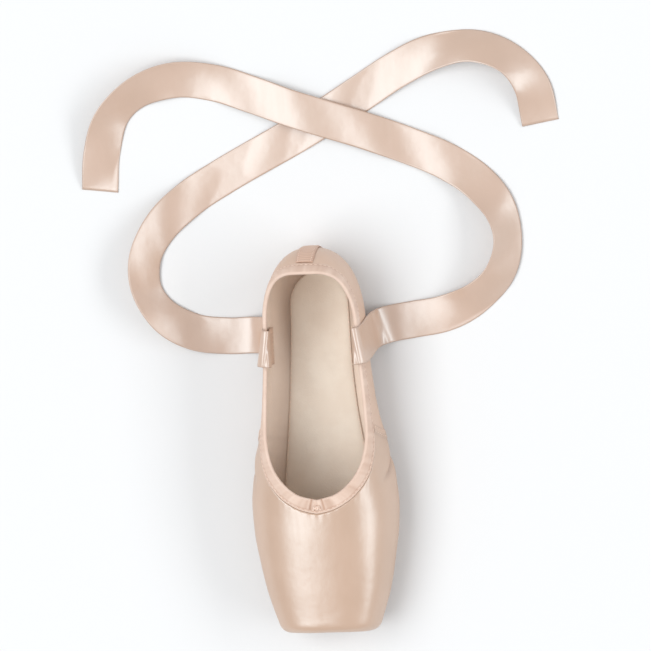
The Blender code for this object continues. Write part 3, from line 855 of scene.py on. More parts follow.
class Groups:
    """The node groups that several finishes share, each built once."""

    def __init__(self) -> None:
        """Build the groups."""
        self.grain = self.build_grain()
        self.weave = self.build_weave()
        self.mottle = self.build_mottle()
        self.shade_and_marks = self.build_shade_and_marks()

    @staticmethod
    def start(
        name: str, inputs: dict[str, str], outputs: dict[str, str]
    ) -> tuple[Tree, Desk, Node, Node]:
        """Open a group.

        Args:
            name: The group's name.
            inputs: Socket kinds by name, such as Float.
            outputs: Socket kinds by name.

        Returns:
            The tree, a desk on it, its input node and its output node.
        """
        tree = bpy.data.node_groups.new(name, "ShaderNodeTree")
        for socket, kind in inputs.items():
            tree.interface.new_socket(socket, in_out="INPUT", socket_type="NodeSocket" + kind)
        for socket, kind in outputs.items():
            tree.interface.new_socket(socket, in_out="OUTPUT", socket_type="NodeSocket" + kind)
        desk = Desk(tree)
        return tree, desk, desk.add("NodeGroupInput"), desk.add("NodeGroupOutput")

    def build_grain(self) -> Tree:
        """Build satin's long floats: fine threads, and slow streaks of tone along them.

        Returns:
            The group.
        """
        sockets = {"Vector": "Vector", "Threads": "Vector", "Streaks": "Vector"}
        found = {"Height": "Float", "Tone": "Float"}
        tree, desk, given, out = self.start("satin grain", sockets, found)

        def drawn(scale: str, detail: float) -> Socket:
            """Noise drawn out along the cloth by one of the group's scales."""
            inputs = {0: given.outputs["Vector"], 1: given.outputs[scale]}
            place = desk.add("ShaderNodeVectorMath", inputs, operation="MULTIPLY")
            return desk.noise(place.outputs[0], 1.0, detail)

        tree.links.new(drawn("Threads", 1.0), out.inputs["Height"])
        tree.links.new(drawn("Streaks", 2.0), out.inputs["Tone"])
        return tree

    def build_weave(self) -> Tree:
        """Build a plain or ribbed weave on cloth coordinates in millimetres.

        Returns:
            The group.
        """
        sockets = {"Vector": "Vector", "Warp": "Float", "Weft": "Float", "Uneven": "Float"}
        tree, desk, given, out = self.start("weave", sockets, {"Height": "Float"})
        wander = desk.noise(given.outputs["Vector"], 0.45, 2.0)
        wander = desk.math("MULTIPLY", wander, given.outputs["Uneven"])
        part = desk.add("ShaderNodeSeparateXYZ", {0: given.outputs["Vector"]})
        waves = []
        for axis, pitch in ((0, "Warp"), (1, "Weft")):
            turns = desk.math("DIVIDE", part.outputs[axis], given.outputs[pitch])
            turns = desk.math("ADD", turns, wander)
            wave = desk.math("SINE", desk.math("MULTIPLY", turns, 2.0 * math.pi))
            waves.append(desk.math("MULTIPLY", wave, 0.5))
        crossed = desk.math("MULTIPLY", waves[0], waves[1])
        height = desk.math("ADD", desk.math("MULTIPLY", crossed, 2.0), 0.5)
        tree.links.new(height, out.inputs["Height"])
        return tree

    def build_mottle(self) -> Tree:
        """Build a slow change between two colours.

        Returns:
            The group.
        """
        sockets = {"Vector": "Vector", "Scale": "Float", "Colour": "Color", "Second": "Color"}
        tree, desk, given, out = self.start("mottle", sockets, {"Colour": "Color"})
        cloud = desk.noise(given.outputs["Vector"], given.outputs["Scale"], 4.0)
        share = desk.ramp(cloud, 0.35, 0.65)
        colour = desk.blend(share, given.outputs["Colour"], given.outputs["Second"])
        tree.links.new(colour, out.inputs["Colour"])
        return tree

    def build_shade_and_marks(self) -> Tree:
        """Build a colour that deepens where a mask says: painted shade, and dark joins and edges.

        Returns:
            The group.
        """
        sockets = {"Colour": "Color", "Deep": "Color", "Mask": "Float", "Amount": "Float"}
        tree, desk, given, out = self.start("hollow shade", sockets, {"Colour": "Color"})
        share = desk.math("MULTIPLY", given.outputs["Mask"], given.outputs["Amount"], clamp=True)
        colour = desk.blend(share, given.outputs["Colour"], given.outputs["Deep"])
        tree.links.new(colour, out.inputs["Colour"])
        return tree


GROUPS = Groups()


def opaque(colour: Colour) -> tuple[float, float, float, float]:
    """A colour with its alpha."""
    return (*colour, 1.0)


@dataclass(frozen=True)
class Finish:
    """What every finish has: a name, two close colours and a deeper one for painted shade in hollows and
    for dark joins.

    Attributes:
        name: The material's name.
        colour: Its colour.
        second: A close one that mottles it.
        deep: The darker colour of painted shade in hollows and folds, and of dark joins and edges.
        roughness: How matt it is.
        sheen: How much fuzz catches the light.
        gloss: How strongly it shines, from 0 to 1.
    """

    name: str
    colour: Colour
    second: Colour
    deep: Colour
    roughness: float
    sheen: float = 0.0
    gloss: float = 0.5

    def open(self) -> tuple[Material, Desk, Node]:
        """Start the material.

        Returns:
            The material, a desk on its tree and its Principled shader.
        """
        material = bpy.data.materials.new(self.name)
        material.use_nodes = True
        shader = material.node_tree.nodes["Principled BSDF"]
        shader.inputs["Roughness"].default_value = self.roughness
        shader.inputs["Sheen Weight"].default_value = self.sheen
        shader.inputs["Specular IOR Level"].default_value = self.gloss
        return material, Desk(material.node_tree), shader

    def deepened(self, desk: Desk, colour: Socket, mask: Socket) -> Socket:
        """A colour that goes over to the deep one where a mask says."""
        inputs = {"Colour": colour, "Deep": opaque(self.deep), "Mask": mask, "Amount": 1.0}
        return desk.group(GROUPS.shade_and_marks, inputs).outputs[0]

    def paint(self, desk: Desk, shader: Node, scale: float) -> tuple[Socket, Socket]:
        """Colour the cloth, mottled, with painted shade in its hollows and darker joins.

        Args:
            desk: The desk on the material.
            shader: Its Principled shader.
            scale: The mottle's scale, per metre.

        Returns:
            The sockets of the object's own coordinates and of the colour.
        """
        place = desk.add("ShaderNodeTexCoord").outputs["Object"]
        inputs = {"Vector": place, "Scale": scale}
        colours = {"Colour": opaque(self.colour), "Second": opaque(self.second)}
        mottled = desk.group(GROUPS.mottle, {**inputs, **colours}).outputs[0]
        # Painted shade: the mask darkens the cloth in its folds, grooves and corners, and along dark
        # joins and edges.
        painted = self.deepened(desk, mottled, desk.mask("shade_and_marks"))
        desk.tree.links.new(painted, shader.inputs["Base Color"])
        return place, painted

    @staticmethod
    def bump(desk: Desk, shader: Node, *layers: tuple[Socket, float]) -> None:
        """Raise bumps.

        Args:
            desk: The desk on the material.
            shader: Its Principled shader.
            layers: Height sockets, each with its depth in millimetres.
        """
        normal = None
        for height, depth in layers:
            inputs = {"Height": height, "Distance": depth * MM, "Strength": 1.0}
            if normal is not None:
                inputs["Normal"] = normal
            normal = desk.add("ShaderNodeBump", inputs).outputs[0]
        desk.tree.links.new(normal, shader.inputs["Normal"])


@dataclass(frozen=True)
class Satin(Finish):
    """Glossy satin whose floats run along the shoe.

    Attributes:
        ior: How strongly it mirrors.
        shine: The tint of its shine.
        threads: The scale of its threads along each axis, per metre.
        streaks: The scale of its slow streaks.
        thread_depth: Depth of the threads, and cloud_depth that of the cloth's unevenness.
        streak: How much the streaks change its roughness.
        dull: How much duller the quarter's panel is.
        painted_light_lift: How much paler the quarter's panel is painted, a painted lift that stands in
            for the light on the flank.
    """

    ior: float = 1.85
    shine: Colour = (0.86, 0.97, 1.0)
    fuzz_roughness: float = 0.35
    fuzz: Colour = (1.0, 0.86, 0.76)
    threads: tuple[float, float, float] = (3200.0, 260.0, 3200.0)
    streaks: tuple[float, float, float] = (420.0, 22.0, 420.0)
    thread_depth: float = 0.012
    cloud_depth: float = 0.25
    streak: float = 0.12
    dull: float = 0.12
    painted_light_lift: Colour = (1.0, 1.0, 1.0)

    def material(self) -> Material:
        """Build the satin.

        Returns:
            Its material.
        """
        material, desk, shader = self.open()
        shader.inputs["IOR"].default_value = self.ior
        shader.inputs["Specular Tint"].default_value = opaque(self.shine)
        shader.inputs["Sheen Roughness"].default_value = self.fuzz_roughness
        shader.inputs["Sheen Tint"].default_value = opaque(self.fuzz)
        place, painted = self.paint(desk, shader, 38.0)
        inputs = {"Vector": place, "Threads": self.threads, "Streaks": self.streaks}
        grain = desk.group(GROUPS.grain, inputs)
        panel = desk.mask("quarter")
        # Painted light: the quarter's panel is painted paler, standing in for the light on the flank.
        light_lifted = desk.blend(panel, painted, opaque(self.painted_light_lift), "MULTIPLY")
        desk.tree.links.new(light_lifted, shader.inputs["Base Color"])
        streak = desk.math("MULTIPLY", grain.outputs["Tone"], self.streak)
        rough = desk.math("ADD", streak, self.roughness - self.streak / 2.0)
        rough = desk.math("ADD", desk.math("MULTIPLY", panel, self.dull), rough)
        desk.tree.links.new(rough, shader.inputs["Roughness"])
        cloud = desk.noise(place, 90.0, 2.0)
        threads = (grain.outputs["Height"], self.thread_depth)
        self.bump(desk, shader, (cloud, self.cloud_depth), threads)
        return material


@dataclass(frozen=True)
class Cotton(Finish):
    """Matt woven cotton, its weave on the cloth coordinates.

    Attributes:
        warp: Width of a thread one way, and weft the other way.
        weave_depth: Depth of the weave, and fuzz_depth that of its fuzz.
        uneven: How far the threads wander, in threads.
    """

    warp: float = 0.7
    weft: float = 0.7
    weave_depth: float = 0.05
    fuzz_depth: float = 0.12
    uneven: float = 0.35

    def material(self) -> Material:
        """Build the cotton.

        Returns:
            Its material.
        """
        material, desk, shader = self.open()
        place, _ = self.paint(desk, shader, 70.0)
        pitches = {"Warp": self.warp, "Weft": self.weft, "Uneven": self.uneven}
        weave = desk.group(GROUPS.weave, {"Vector": desk.cloth(), **pitches}).outputs[0]
        fuzz = desk.noise(place, 900.0, 3.0)
        self.bump(desk, shader, (fuzz, self.fuzz_depth), (weave, self.weave_depth))
        return material


@dataclass(frozen=True)
class Suede(Finish):
    """Brushed suede with a scored crosshatch under the ball, and a paler cut rim.

    Attributes:
        rim: The cut rim's colour.
        nap_share: How much the brushed nap deepens the colour, and nap_depth its depth.
        score_pitch: Spacing of the scored lines.
        score_turn: How far they are turned, in radians.
        score_depth: Their depth.
    """

    rim: Colour = (0.53, 0.38, 0.26)
    nap_share: float = 0.35
    nap_depth: float = 0.14
    score_pitch: float = 2.4
    score_turn: float = 0.6
    score_depth: float = 0.12

    def material(self) -> Material:
        """Build the suede.

        Returns:
            Its material.
        """
        material, desk, shader = self.open()
        place, painted = self.paint(desk, shader, 160.0)
        nap = desk.noise(place, 2200.0, 4.0)
        tinted = desk.blend(desk.mask("rim"), painted, opaque(self.rim))
        brushed = desk.math("MULTIPLY", desk.ramp(nap, 0.3, 0.7), self.nap_share)
        napped = self.deepened(desk, tinted, brushed)
        desk.tree.links.new(napped, shader.inputs["Base Color"])
        turned = {"Vector": desk.cloth(), "Rotation": (0.0, 0.0, self.score_turn)}
        turned = desk.add("ShaderNodeMapping", turned).outputs[0]
        pitches = {"Warp": self.score_pitch, "Weft": self.score_pitch, "Uneven": 0.0}
        score = desk.group(GROUPS.weave, {"Vector": turned, **pitches}).outputs[0]
        score = desk.math("MULTIPLY", desk.ramp(score, 0.45, 0.6), desk.mask("ball"))
        self.bump(desk, shader, (nap, self.nap_depth), (score, self.score_depth))
        return material


@dataclass(frozen=True)
class Thread(Finish):
    """Twisted sewing thread or cord, with the depth of its strands."""

    strand_depth: float = 0.1

    def material(self) -> Material:
        """Build the thread.

        Returns:
            Its material.
        """
        material, desk, shader = self.open()
        place, _ = self.paint(desk, shader, 400.0)
        self.bump(desk, shader, (desk.noise(place, 1400.0, 2.0), self.strand_depth))
        return material


SATIN = Satin(
    "peach satin",
    (0.556, 0.352, 0.236),
    (0.58, 0.372, 0.254),
    (0.34, 0.18, 0.108),
    0.34,
    # Painted light: the quarter's panel is painted paler for the light on the flank.
    painted_light_lift=(1.16, 1.19, 1.24),
    gloss=1.0,
)
RIBBON_SATIN = Satin(
    "ribbon satin",
    (0.59, 0.395, 0.288),
    (0.615, 0.415, 0.308),
    (0.45, 0.27, 0.18),
    0.34,
    sheen=0.05,
    gloss=1.0,
)
LINING = Cotton(
    "cotton lining", (0.8, 0.66, 0.55), (0.83, 0.69, 0.58), (0.46, 0.33, 0.25), 0.92, sheen=0.1
)
SOCK = Cotton(
    "cotton sock", (0.86, 0.77, 0.66), (0.82, 0.72, 0.61), (0.55, 0.43, 0.34), 0.9, warp=0.9, weft=0.9
)
BINDING = Cotton(
    "casing cotton",
    (0.75, 0.56, 0.455),
    (0.79, 0.61, 0.505),
    (0.5, 0.31, 0.22),
    0.82,
    sheen=0.15,
    warp=0.6,
    weft=0.9,
)
GROSGRAIN = Cotton(
    "ribbed binding",
    (0.72, 0.49, 0.37),
    (0.75, 0.52, 0.4),
    (0.45, 0.26, 0.18),
    0.62,
    sheen=0.2,
    warp=1.6,
    weft=0.8,
)
SUEDE = Suede(
    "taupe suede", (0.42, 0.3, 0.225), (0.36, 0.25, 0.185), (0.2, 0.12, 0.075), 0.95, sheen=0.35
)
SEWING = Thread(
    "sewing thread", (0.8, 0.61, 0.5), (0.84, 0.66, 0.55), (0.55, 0.37, 0.27), 0.55, sheen=0.2
)
CORD = Thread(
    "drawstring cotton", (0.77, 0.57, 0.46), (0.82, 0.63, 0.52), (0.5, 0.32, 0.23), 0.85
)


@dataclass(frozen=True)
class Stitches:
    """Rows of machine stitches on a piece.

    Attributes:
        length: A stitch's length.
        gap: The gap between two.
        width: A stitch's width.
        proud: How far its middle stands over the cloth.
    """

    length: float = 2.0
    gap: float = 0.8
    width: float = 0.42
    proud: float = 0.08

    def sew(self, bm: bmesh.types.BMesh, line: Array, out: Array) -> int:
        """Sew one row.

        Args:
            bm: The mesh that takes the stitches.
            line: The row's points.
            out: The cloth's outward direction at each.

        Returns:
            How many stitches it took.
        """
        run = runs_along(line)
        count = int(run[-1] / (self.length + self.gap))
        middles = (np.arange(count) + 0.5) * run[-1] / count
        reach = self.length * 0.45

        def at(distance: float, values: Array) -> Vector:
            """The row's values at a distance along it."""
            return Vector([np.interp(distance, run, values[:, axis]) for axis in range(3)])

        for middle in middles:
            up = at(middle, out).normalized()
            along = (at(middle + reach, line) - at(middle - reach, line)).normalized()
            side = up.cross(along).normalized()
            turned = Matrix((along, side, up)).transposed().to_4x4()
            size = Matrix.Diagonal((self.length / 2.0, self.width / 2.0, self.width / 2.4, 1.0))
            seat = at(middle, line) + up * self.proud
            place = Matrix.Translation(Vector(to_frame(seat)))
            matrix = place @ turned @ size @ Matrix.Scale(MM, 4)
            bmesh.ops.create_uvsphere(bm, u_segments=6, v_segments=5, radius=1.0, matrix=matrix)
        return count

    def piece(self, name: str, slot: Slot, rows: list[tuple[Array, Array]]) -> Piece:
        """Sew rows that make up one piece.

        Args:
            name: The piece's name.
            slot: The record's slot of the cloth under it; not used.
            rows: Each row's points, and its outward directions.

        Returns:
            The piece.
        """
        bm = bmesh.new()
        count = sum(self.sew(bm, line, out) for line, out in rows)
        mesh = bpy.data.meshes.new(name)
        bm.to_mesh(mesh)
        bm.free()
        LOG.info("%s: %d stitches", name, count)
        return show(name, mesh, SEWING.material())


@dataclass
class Upper:
    """The satin upper: pleats under the toe, side seams, soft creases and gathers.

    Attributes:
        satin: Thickness of the satin layer.
        edge_gap: How far below the casing it ends.
        pleat_pitch: Spacing of the main pleats, as a share of a side.
        pleat_depth: Depth of the main pleats.
        small_pleat: Depth of the pleats between them, as a share.
        pleat_reach: Length of the pleats at the tip of the toe, and at the last of them.
        tuck_pitch: Spacing of the heel's tucks, as a share of a side.
        tuck_depth: Their depth.
        seam_half_width: Half the width of the raised side seam.
        seam_height: How far it stands out.
        needle_off: How far its two rows of stitches lie from its middle.
        needle_depth: How deep they are pressed in.
        gather_pitch: Spacing of the puckers under the casing.
        gather_depth: Their depth.
        wave_length: Length of the cloth's slow waves.
        wave_height: Their height.
        creases: The listed creases, the long ones at the wings first.
    """

    last: Last
    satin: float = 0.5
    edge_gap: float = 0.12
    pleat_pitch: float = 0.05
    pleat_depth: float = 0.75
    small_pleat: float = 0.45
    pleat_reach: tuple[float, float] = (27.0, 14.0)
    tuck_pitch: float = 0.021
    tuck_depth: float = 0.3
    seam_half_width: float = 2.4
    seam_height: float = 0.5
    needle_off: float = 1.25
    needle_depth: float = 0.16
    gather_pitch: float = 5.2
    gather_depth: float = 0.26
    wave_length: float = 21.0
    wave_height: float = 0.14
    creases: tuple[Crease, ...] = (
        Crease(1, ((114.0, -30.0), (106.0, -10.0), (97.5, 10.0), (91.0, 32.0)), 2.0, 1.6),
        Crease(1, ((115.0, -8.0), (108.5, 8.0), (102.0, 24.0)), 4.8, -0.85),
        Crease(1, ((104.0, -24.0), (95.0, -4.0), (87.0, 14.0)), 4.8, -0.4),
        Crease(-1, ((114.5, -33.0), (107.0, -14.0), (99.0, 6.0), (93.0, 26.0)), 2.1, 1.45),
        Crease(-1, ((115.5, -12.0), (109.0, 4.0), (103.5, 19.0)), 4.8, -0.75),
        Crease(1, ((122.0, -12.0), (136.0, -2.0), (152.0, 4.0)), 3.4, 0.34),
        Crease(-1, ((124.0, -14.0), (140.0, -6.0), (158.0, 1.0)), 3.2, 0.36),
        Crease(1, ((118.0, 8.0), (112.0, 22.0), (107.0, 34.0)), 2.2, 0.28),
        Crease(-1, ((119.0, 4.0), (113.0, 18.0), (108.0, 31.0)), 2.0, 0.26),
        Crease(1, ((196.0, -8.0), (206.0, 4.0), (215.0, 10.0)), 3.4, 0.26),
        Crease(-1, ((192.0, 4.0), (204.0, 9.0), (217.0, 6.0)), 3.4, 0.28),
        Crease(1, ((146.0, -20.0), (140.0, -6.0), (137.0, 9.0)), 3.0, 0.24),
        Crease(-1, ((150.0, -18.0), (147.0, -4.0), (146.0, 8.0)), 3.0, 0.24),
    )

    def columns(self) -> Array:
        """The ribs of one side, closest under the toe, at the wing and at the seam.

        Returns:
            Their places, from 0 at the toe to 1 at the heel.
        """
        even = graded((0.0, 0.3, 0.37, 0.5, 0.84, 1.0), (70, 10, 54, 30, 34))
        seam, reach = self.last.seam_rib, 5.0 / LENGTH
        kept = even[np.abs(even - seam) > reach]
        return np.sort(np.concatenate([kept, np.linspace(seam - reach, seam + reach, 21)]))

    def pleats(self, skin: Skin) -> Array:
        """Fold the pleats that gather the satin under the toe.

        Args:
            skin: The skin that they are folded in.

        Returns:
            Their depth, as a share, deepest just past each fold's edge.
        """

        def fold(start: float) -> Array:
            """One run of folds, each steep on one side."""
            phase = np.mod((skin.at - start) / self.pleat_pitch, 1.0)
            return np.where(phase < 0.6, np.exp(-phase / 0.22), np.exp(-(1.0 - phase) / 0.05))

        along = 1.0 - steep((skin.at - 0.22) / 0.09)
        near, far = self.pleat_reach
        reach = near + (far - near) * steep(skin.at / 0.3)
        fade = steep((skin.rise + 3.0) / 3.0) * (1.0 - steep(skin.rise / reach))
        return (fold(self.pleat_pitch / 2.0) + self.small_pleat * fold(0.0)) * along * fade

    def heel_tucks(self, skin: Skin) -> Array:
        """Fold the small tucks where the satin is lasted round the heel.

        Args:
            skin: The skin that they are folded in.

        Returns:
            Their depth, as a share.
        """
        along = steep((skin.at - 0.84) / 0.06)
        wave = np.abs(np.sin(math.pi * skin.at / self.tuck_pitch))
        return (1.0 - wave) * along * steep((skin.rise + 2.0) / 2.0) * (1.0 - steep(skin.rise / 9.0))

    def seam(self, skin: Skin) -> tuple[Array, Array]:
        """Raise the side seam.

        Args:
            skin: The skin that it is raised from.

        Returns:
            Its height, and that of the two needle rows in it, as shares.
        """
        off = np.abs(skin.at - self.last.seam_rib) * LENGTH
        flat = 1.0 - steep((off - self.seam_half_width + 0.5) / 0.9)
        grow = steep(skin.rise / 4.0)
        return flat * grow, bell(off - self.needle_off, 0.4) * grow

    def gathers(self, skin: Skin) -> Array:
        """Pucker the satin under the casing, where its string draws it in.

        Args:
            skin: The skin that is puckered.

        Returns:
            The puckers' depth, as a share, most at the throat.
        """
        below = np.maximum(skin.drop - self.last.casing_width, 0.0)
        strength = (0.45 + 0.35 * bell(skin.at, 0.05)) * steep((1.0 - skin.at) / 0.03)
        place = skin.side * np.minimum(skin.run, skin.run[-1] - skin.run)
        wander = 0.8 * np.sin(place / 17.0 + 1.0) + 0.5 * np.sin(place / 7.3)
        wave = np.sin(2.0 * math.pi * place / self.gather_pitch + wander)
        return (0.5 + 0.5 * wave) * np.exp(-below / 2.4) * strength

    def creased(self, skin: Skin) -> Array:
        """Press in the listed creases.

        Args:
            skin: The skin that they are pressed into.

        Returns:
            Their depth, below 0 on a ridge.
        """
        depth = np.zeros(skin.points.shape[:2])
        for crease in self.creases:
            marks = np.array(crease.marks)
            line = self.last.on_section(marks[:, 0], marks[:, 1]) * (crease.side, 1.0, 1.0)
            line = smooth_line(line, 8)
            least = np.full(depth.shape, np.inf)
            place = np.zeros(depth.shape)
            for number, (start, end) in enumerate(zip(line, line[1:])):
                span, off = end - start, skin.points - start
                share = np.clip(off @ span / (span @ span), 0.0, 1.0)
                distance = np.linalg.norm(off - share[..., None] * span, axis=-1)
                nearer = distance < least
                least = np.where(nearer, distance, least)
                place = np.where(nearer, (number + share) / (len(line) - 1), place)
            strength = 1.0 - np.abs(2.0 * place - 1.0) ** 2.5
            depth += crease.depth * strength * bell(least, crease.half_width)
        return depth

    def build(self) -> Piece:
        """Build the satin, and sew its side seams.

        Returns:
            The satin.
        """
        head = self.last.casing_width + self.edge_gap
        rows = graded((0.0, 0.08, 0.57, 0.86, 1.0), (7, 68, 17, 14))
        skin = Skin.round_last(self.last, self.columns(), rows, 0.0, head)
        normals = outward(skin.points, ring=True)
        pleats, tucks, gathers = self.pleats(skin), self.heel_tucks(skin), self.gathers(skin)
        seam, needle = self.seam(skin)
        creased = self.creased(skin)
        free = steep((skin.rise + 2.0) / 4.0) * steep((skin.drop - head) / 5.0)
        waves = noise_at(skin.points / self.wave_length) * free
        height = self.seam_height * seam - self.needle_depth * needle - self.pleat_depth * pleats
        height -= self.tuck_depth * tucks + self.gather_depth * gathers + creased
        points = skin.points + normals * (height + self.wave_height * waves)[..., None]
        off = (skin.at - self.last.seam_rib) * LENGTH
        step = bell(np.abs(off) - self.seam_half_width - 0.2, 0.5) * steep(skin.rise / 4.0)
        # Painted shade in the pleats, the heel tucks, at the seam's step, along the needle rows and in
        # the deep creases; at the sole's rim it is painted shade and a dark join.
        shade_and_marks = np.clip(0.85 * pleats**2 + 0.5 * tucks**3 + 0.35 * step + 0.3 * needle, 0.0, 1.0)
        shade_and_marks = np.maximum(shade_and_marks, 0.6 * bell(skin.rise, 1.1))
        shade_and_marks = np.maximum(shade_and_marks, np.clip(0.5 * (creased - 0.35), 0.0, 0.4))
        masks = {"shade_and_marks": shade_and_marks, "quarter": steep(off / 1.5 + 0.5)}
        cloth = Cloth(points, np.stack([skin.run, skin.rise], axis=-1), masks)
        piece = cloth.lay("upper_satin", SATIN.material())
        thicken(piece, self.satin)
        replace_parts(piece, "upper")
        self.sew_seams(skin, points, normals)
        return piece

    def sew_seams(self, skin: Skin, points: Array, normals: Array) -> None:
        """Sew two rows of stitches on each side seam.

        Args:
            skin: The skin under the satin.
            points: The satin's points.
            normals: Its outward directions.
        """
        half = (len(skin.at) + 1) // 2
        rows = []
        for off in (-self.needle_off, self.needle_off):
            rib = self.last.seam_rib + off / LENGTH
            column = float(np.interp(rib, skin.at[:half, 0], np.arange(half)))
            for place in (column, len(skin.at) - 1 - column):
                low, share = int(place), place % 1.0
                line = points[low] * (1.0 - share) + points[low + 1] * share
                out = unit(normals[low] * (1.0 - share) + normals[low + 1] * share)
                shown = skin.rise[low] > 2.5
                rows.append((line[shown], out[shown]))
        Stitches(length=2.1, gap=0.7).piece("seam_stitches", Slot.UPPER, rows)


@dataclass
class Lining:
    """The cotton lining and the stiff layers behind it, inside the satin.

    Attributes:
        clear: How far inside the last's skin it lies.
        inner: Its least thickness.
    """

    last: Last
    clear: float = 1.1
    inner: float = 0.35

    def build(self) -> Piece:
        """Build the lining, with its thickness at each station left to a vertex group.

        Returns:
            The lining.
        """
        upper = Upper(self.last)
        head = self.last.casing_width + upper.edge_gap
        ribs, rows = np.linspace(0.0, 1.0, 130), np.linspace(0.0, 1.0, 64)
        skin = Skin.round_last(self.last, ribs, rows, 0.3, head)
        normals = outward(skin.points, ring=True)
        pressed = 0.8 * np.maximum(upper.creased(skin), 0.0)
        depth = self.clear + upper.pleat_depth * upper.pleats(skin) + pressed
        wall = np.maximum(self.last.wall(skin.points[..., 1]), depth + self.inner)
        points = skin.points - normals * depth[..., None]
        seam = bell((skin.at - self.last.seam_rib) * LENGTH, 0.7)
        # Painted shade low in the lining, near the sole, and a darker line along the seam.
        shade_and_marks = np.clip(0.3 * seam + 0.5 * bell(skin.rise, 6.0), 0.0, 1.0)
        masks = {"shade_and_marks": shade_and_marks, "share": (wall - depth) / self.last.box_wall}
        cloth = Cloth(points, np.stack([skin.run, skin.rise], axis=-1), masks)
        piece = cloth.lay("lining", LINING.material())
        group = piece.vertex_groups.new(name="wall")
        shares = np.empty(len(piece.data.vertices))
        piece.data.attributes["share"].data.foreach_get("value", shares)
        for index, share in enumerate(shares):
            group.add([index], float(share), "REPLACE")
        thicken(piece, self.last.box_wall).vertex_group = "wall"
        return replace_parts(piece, "upper")


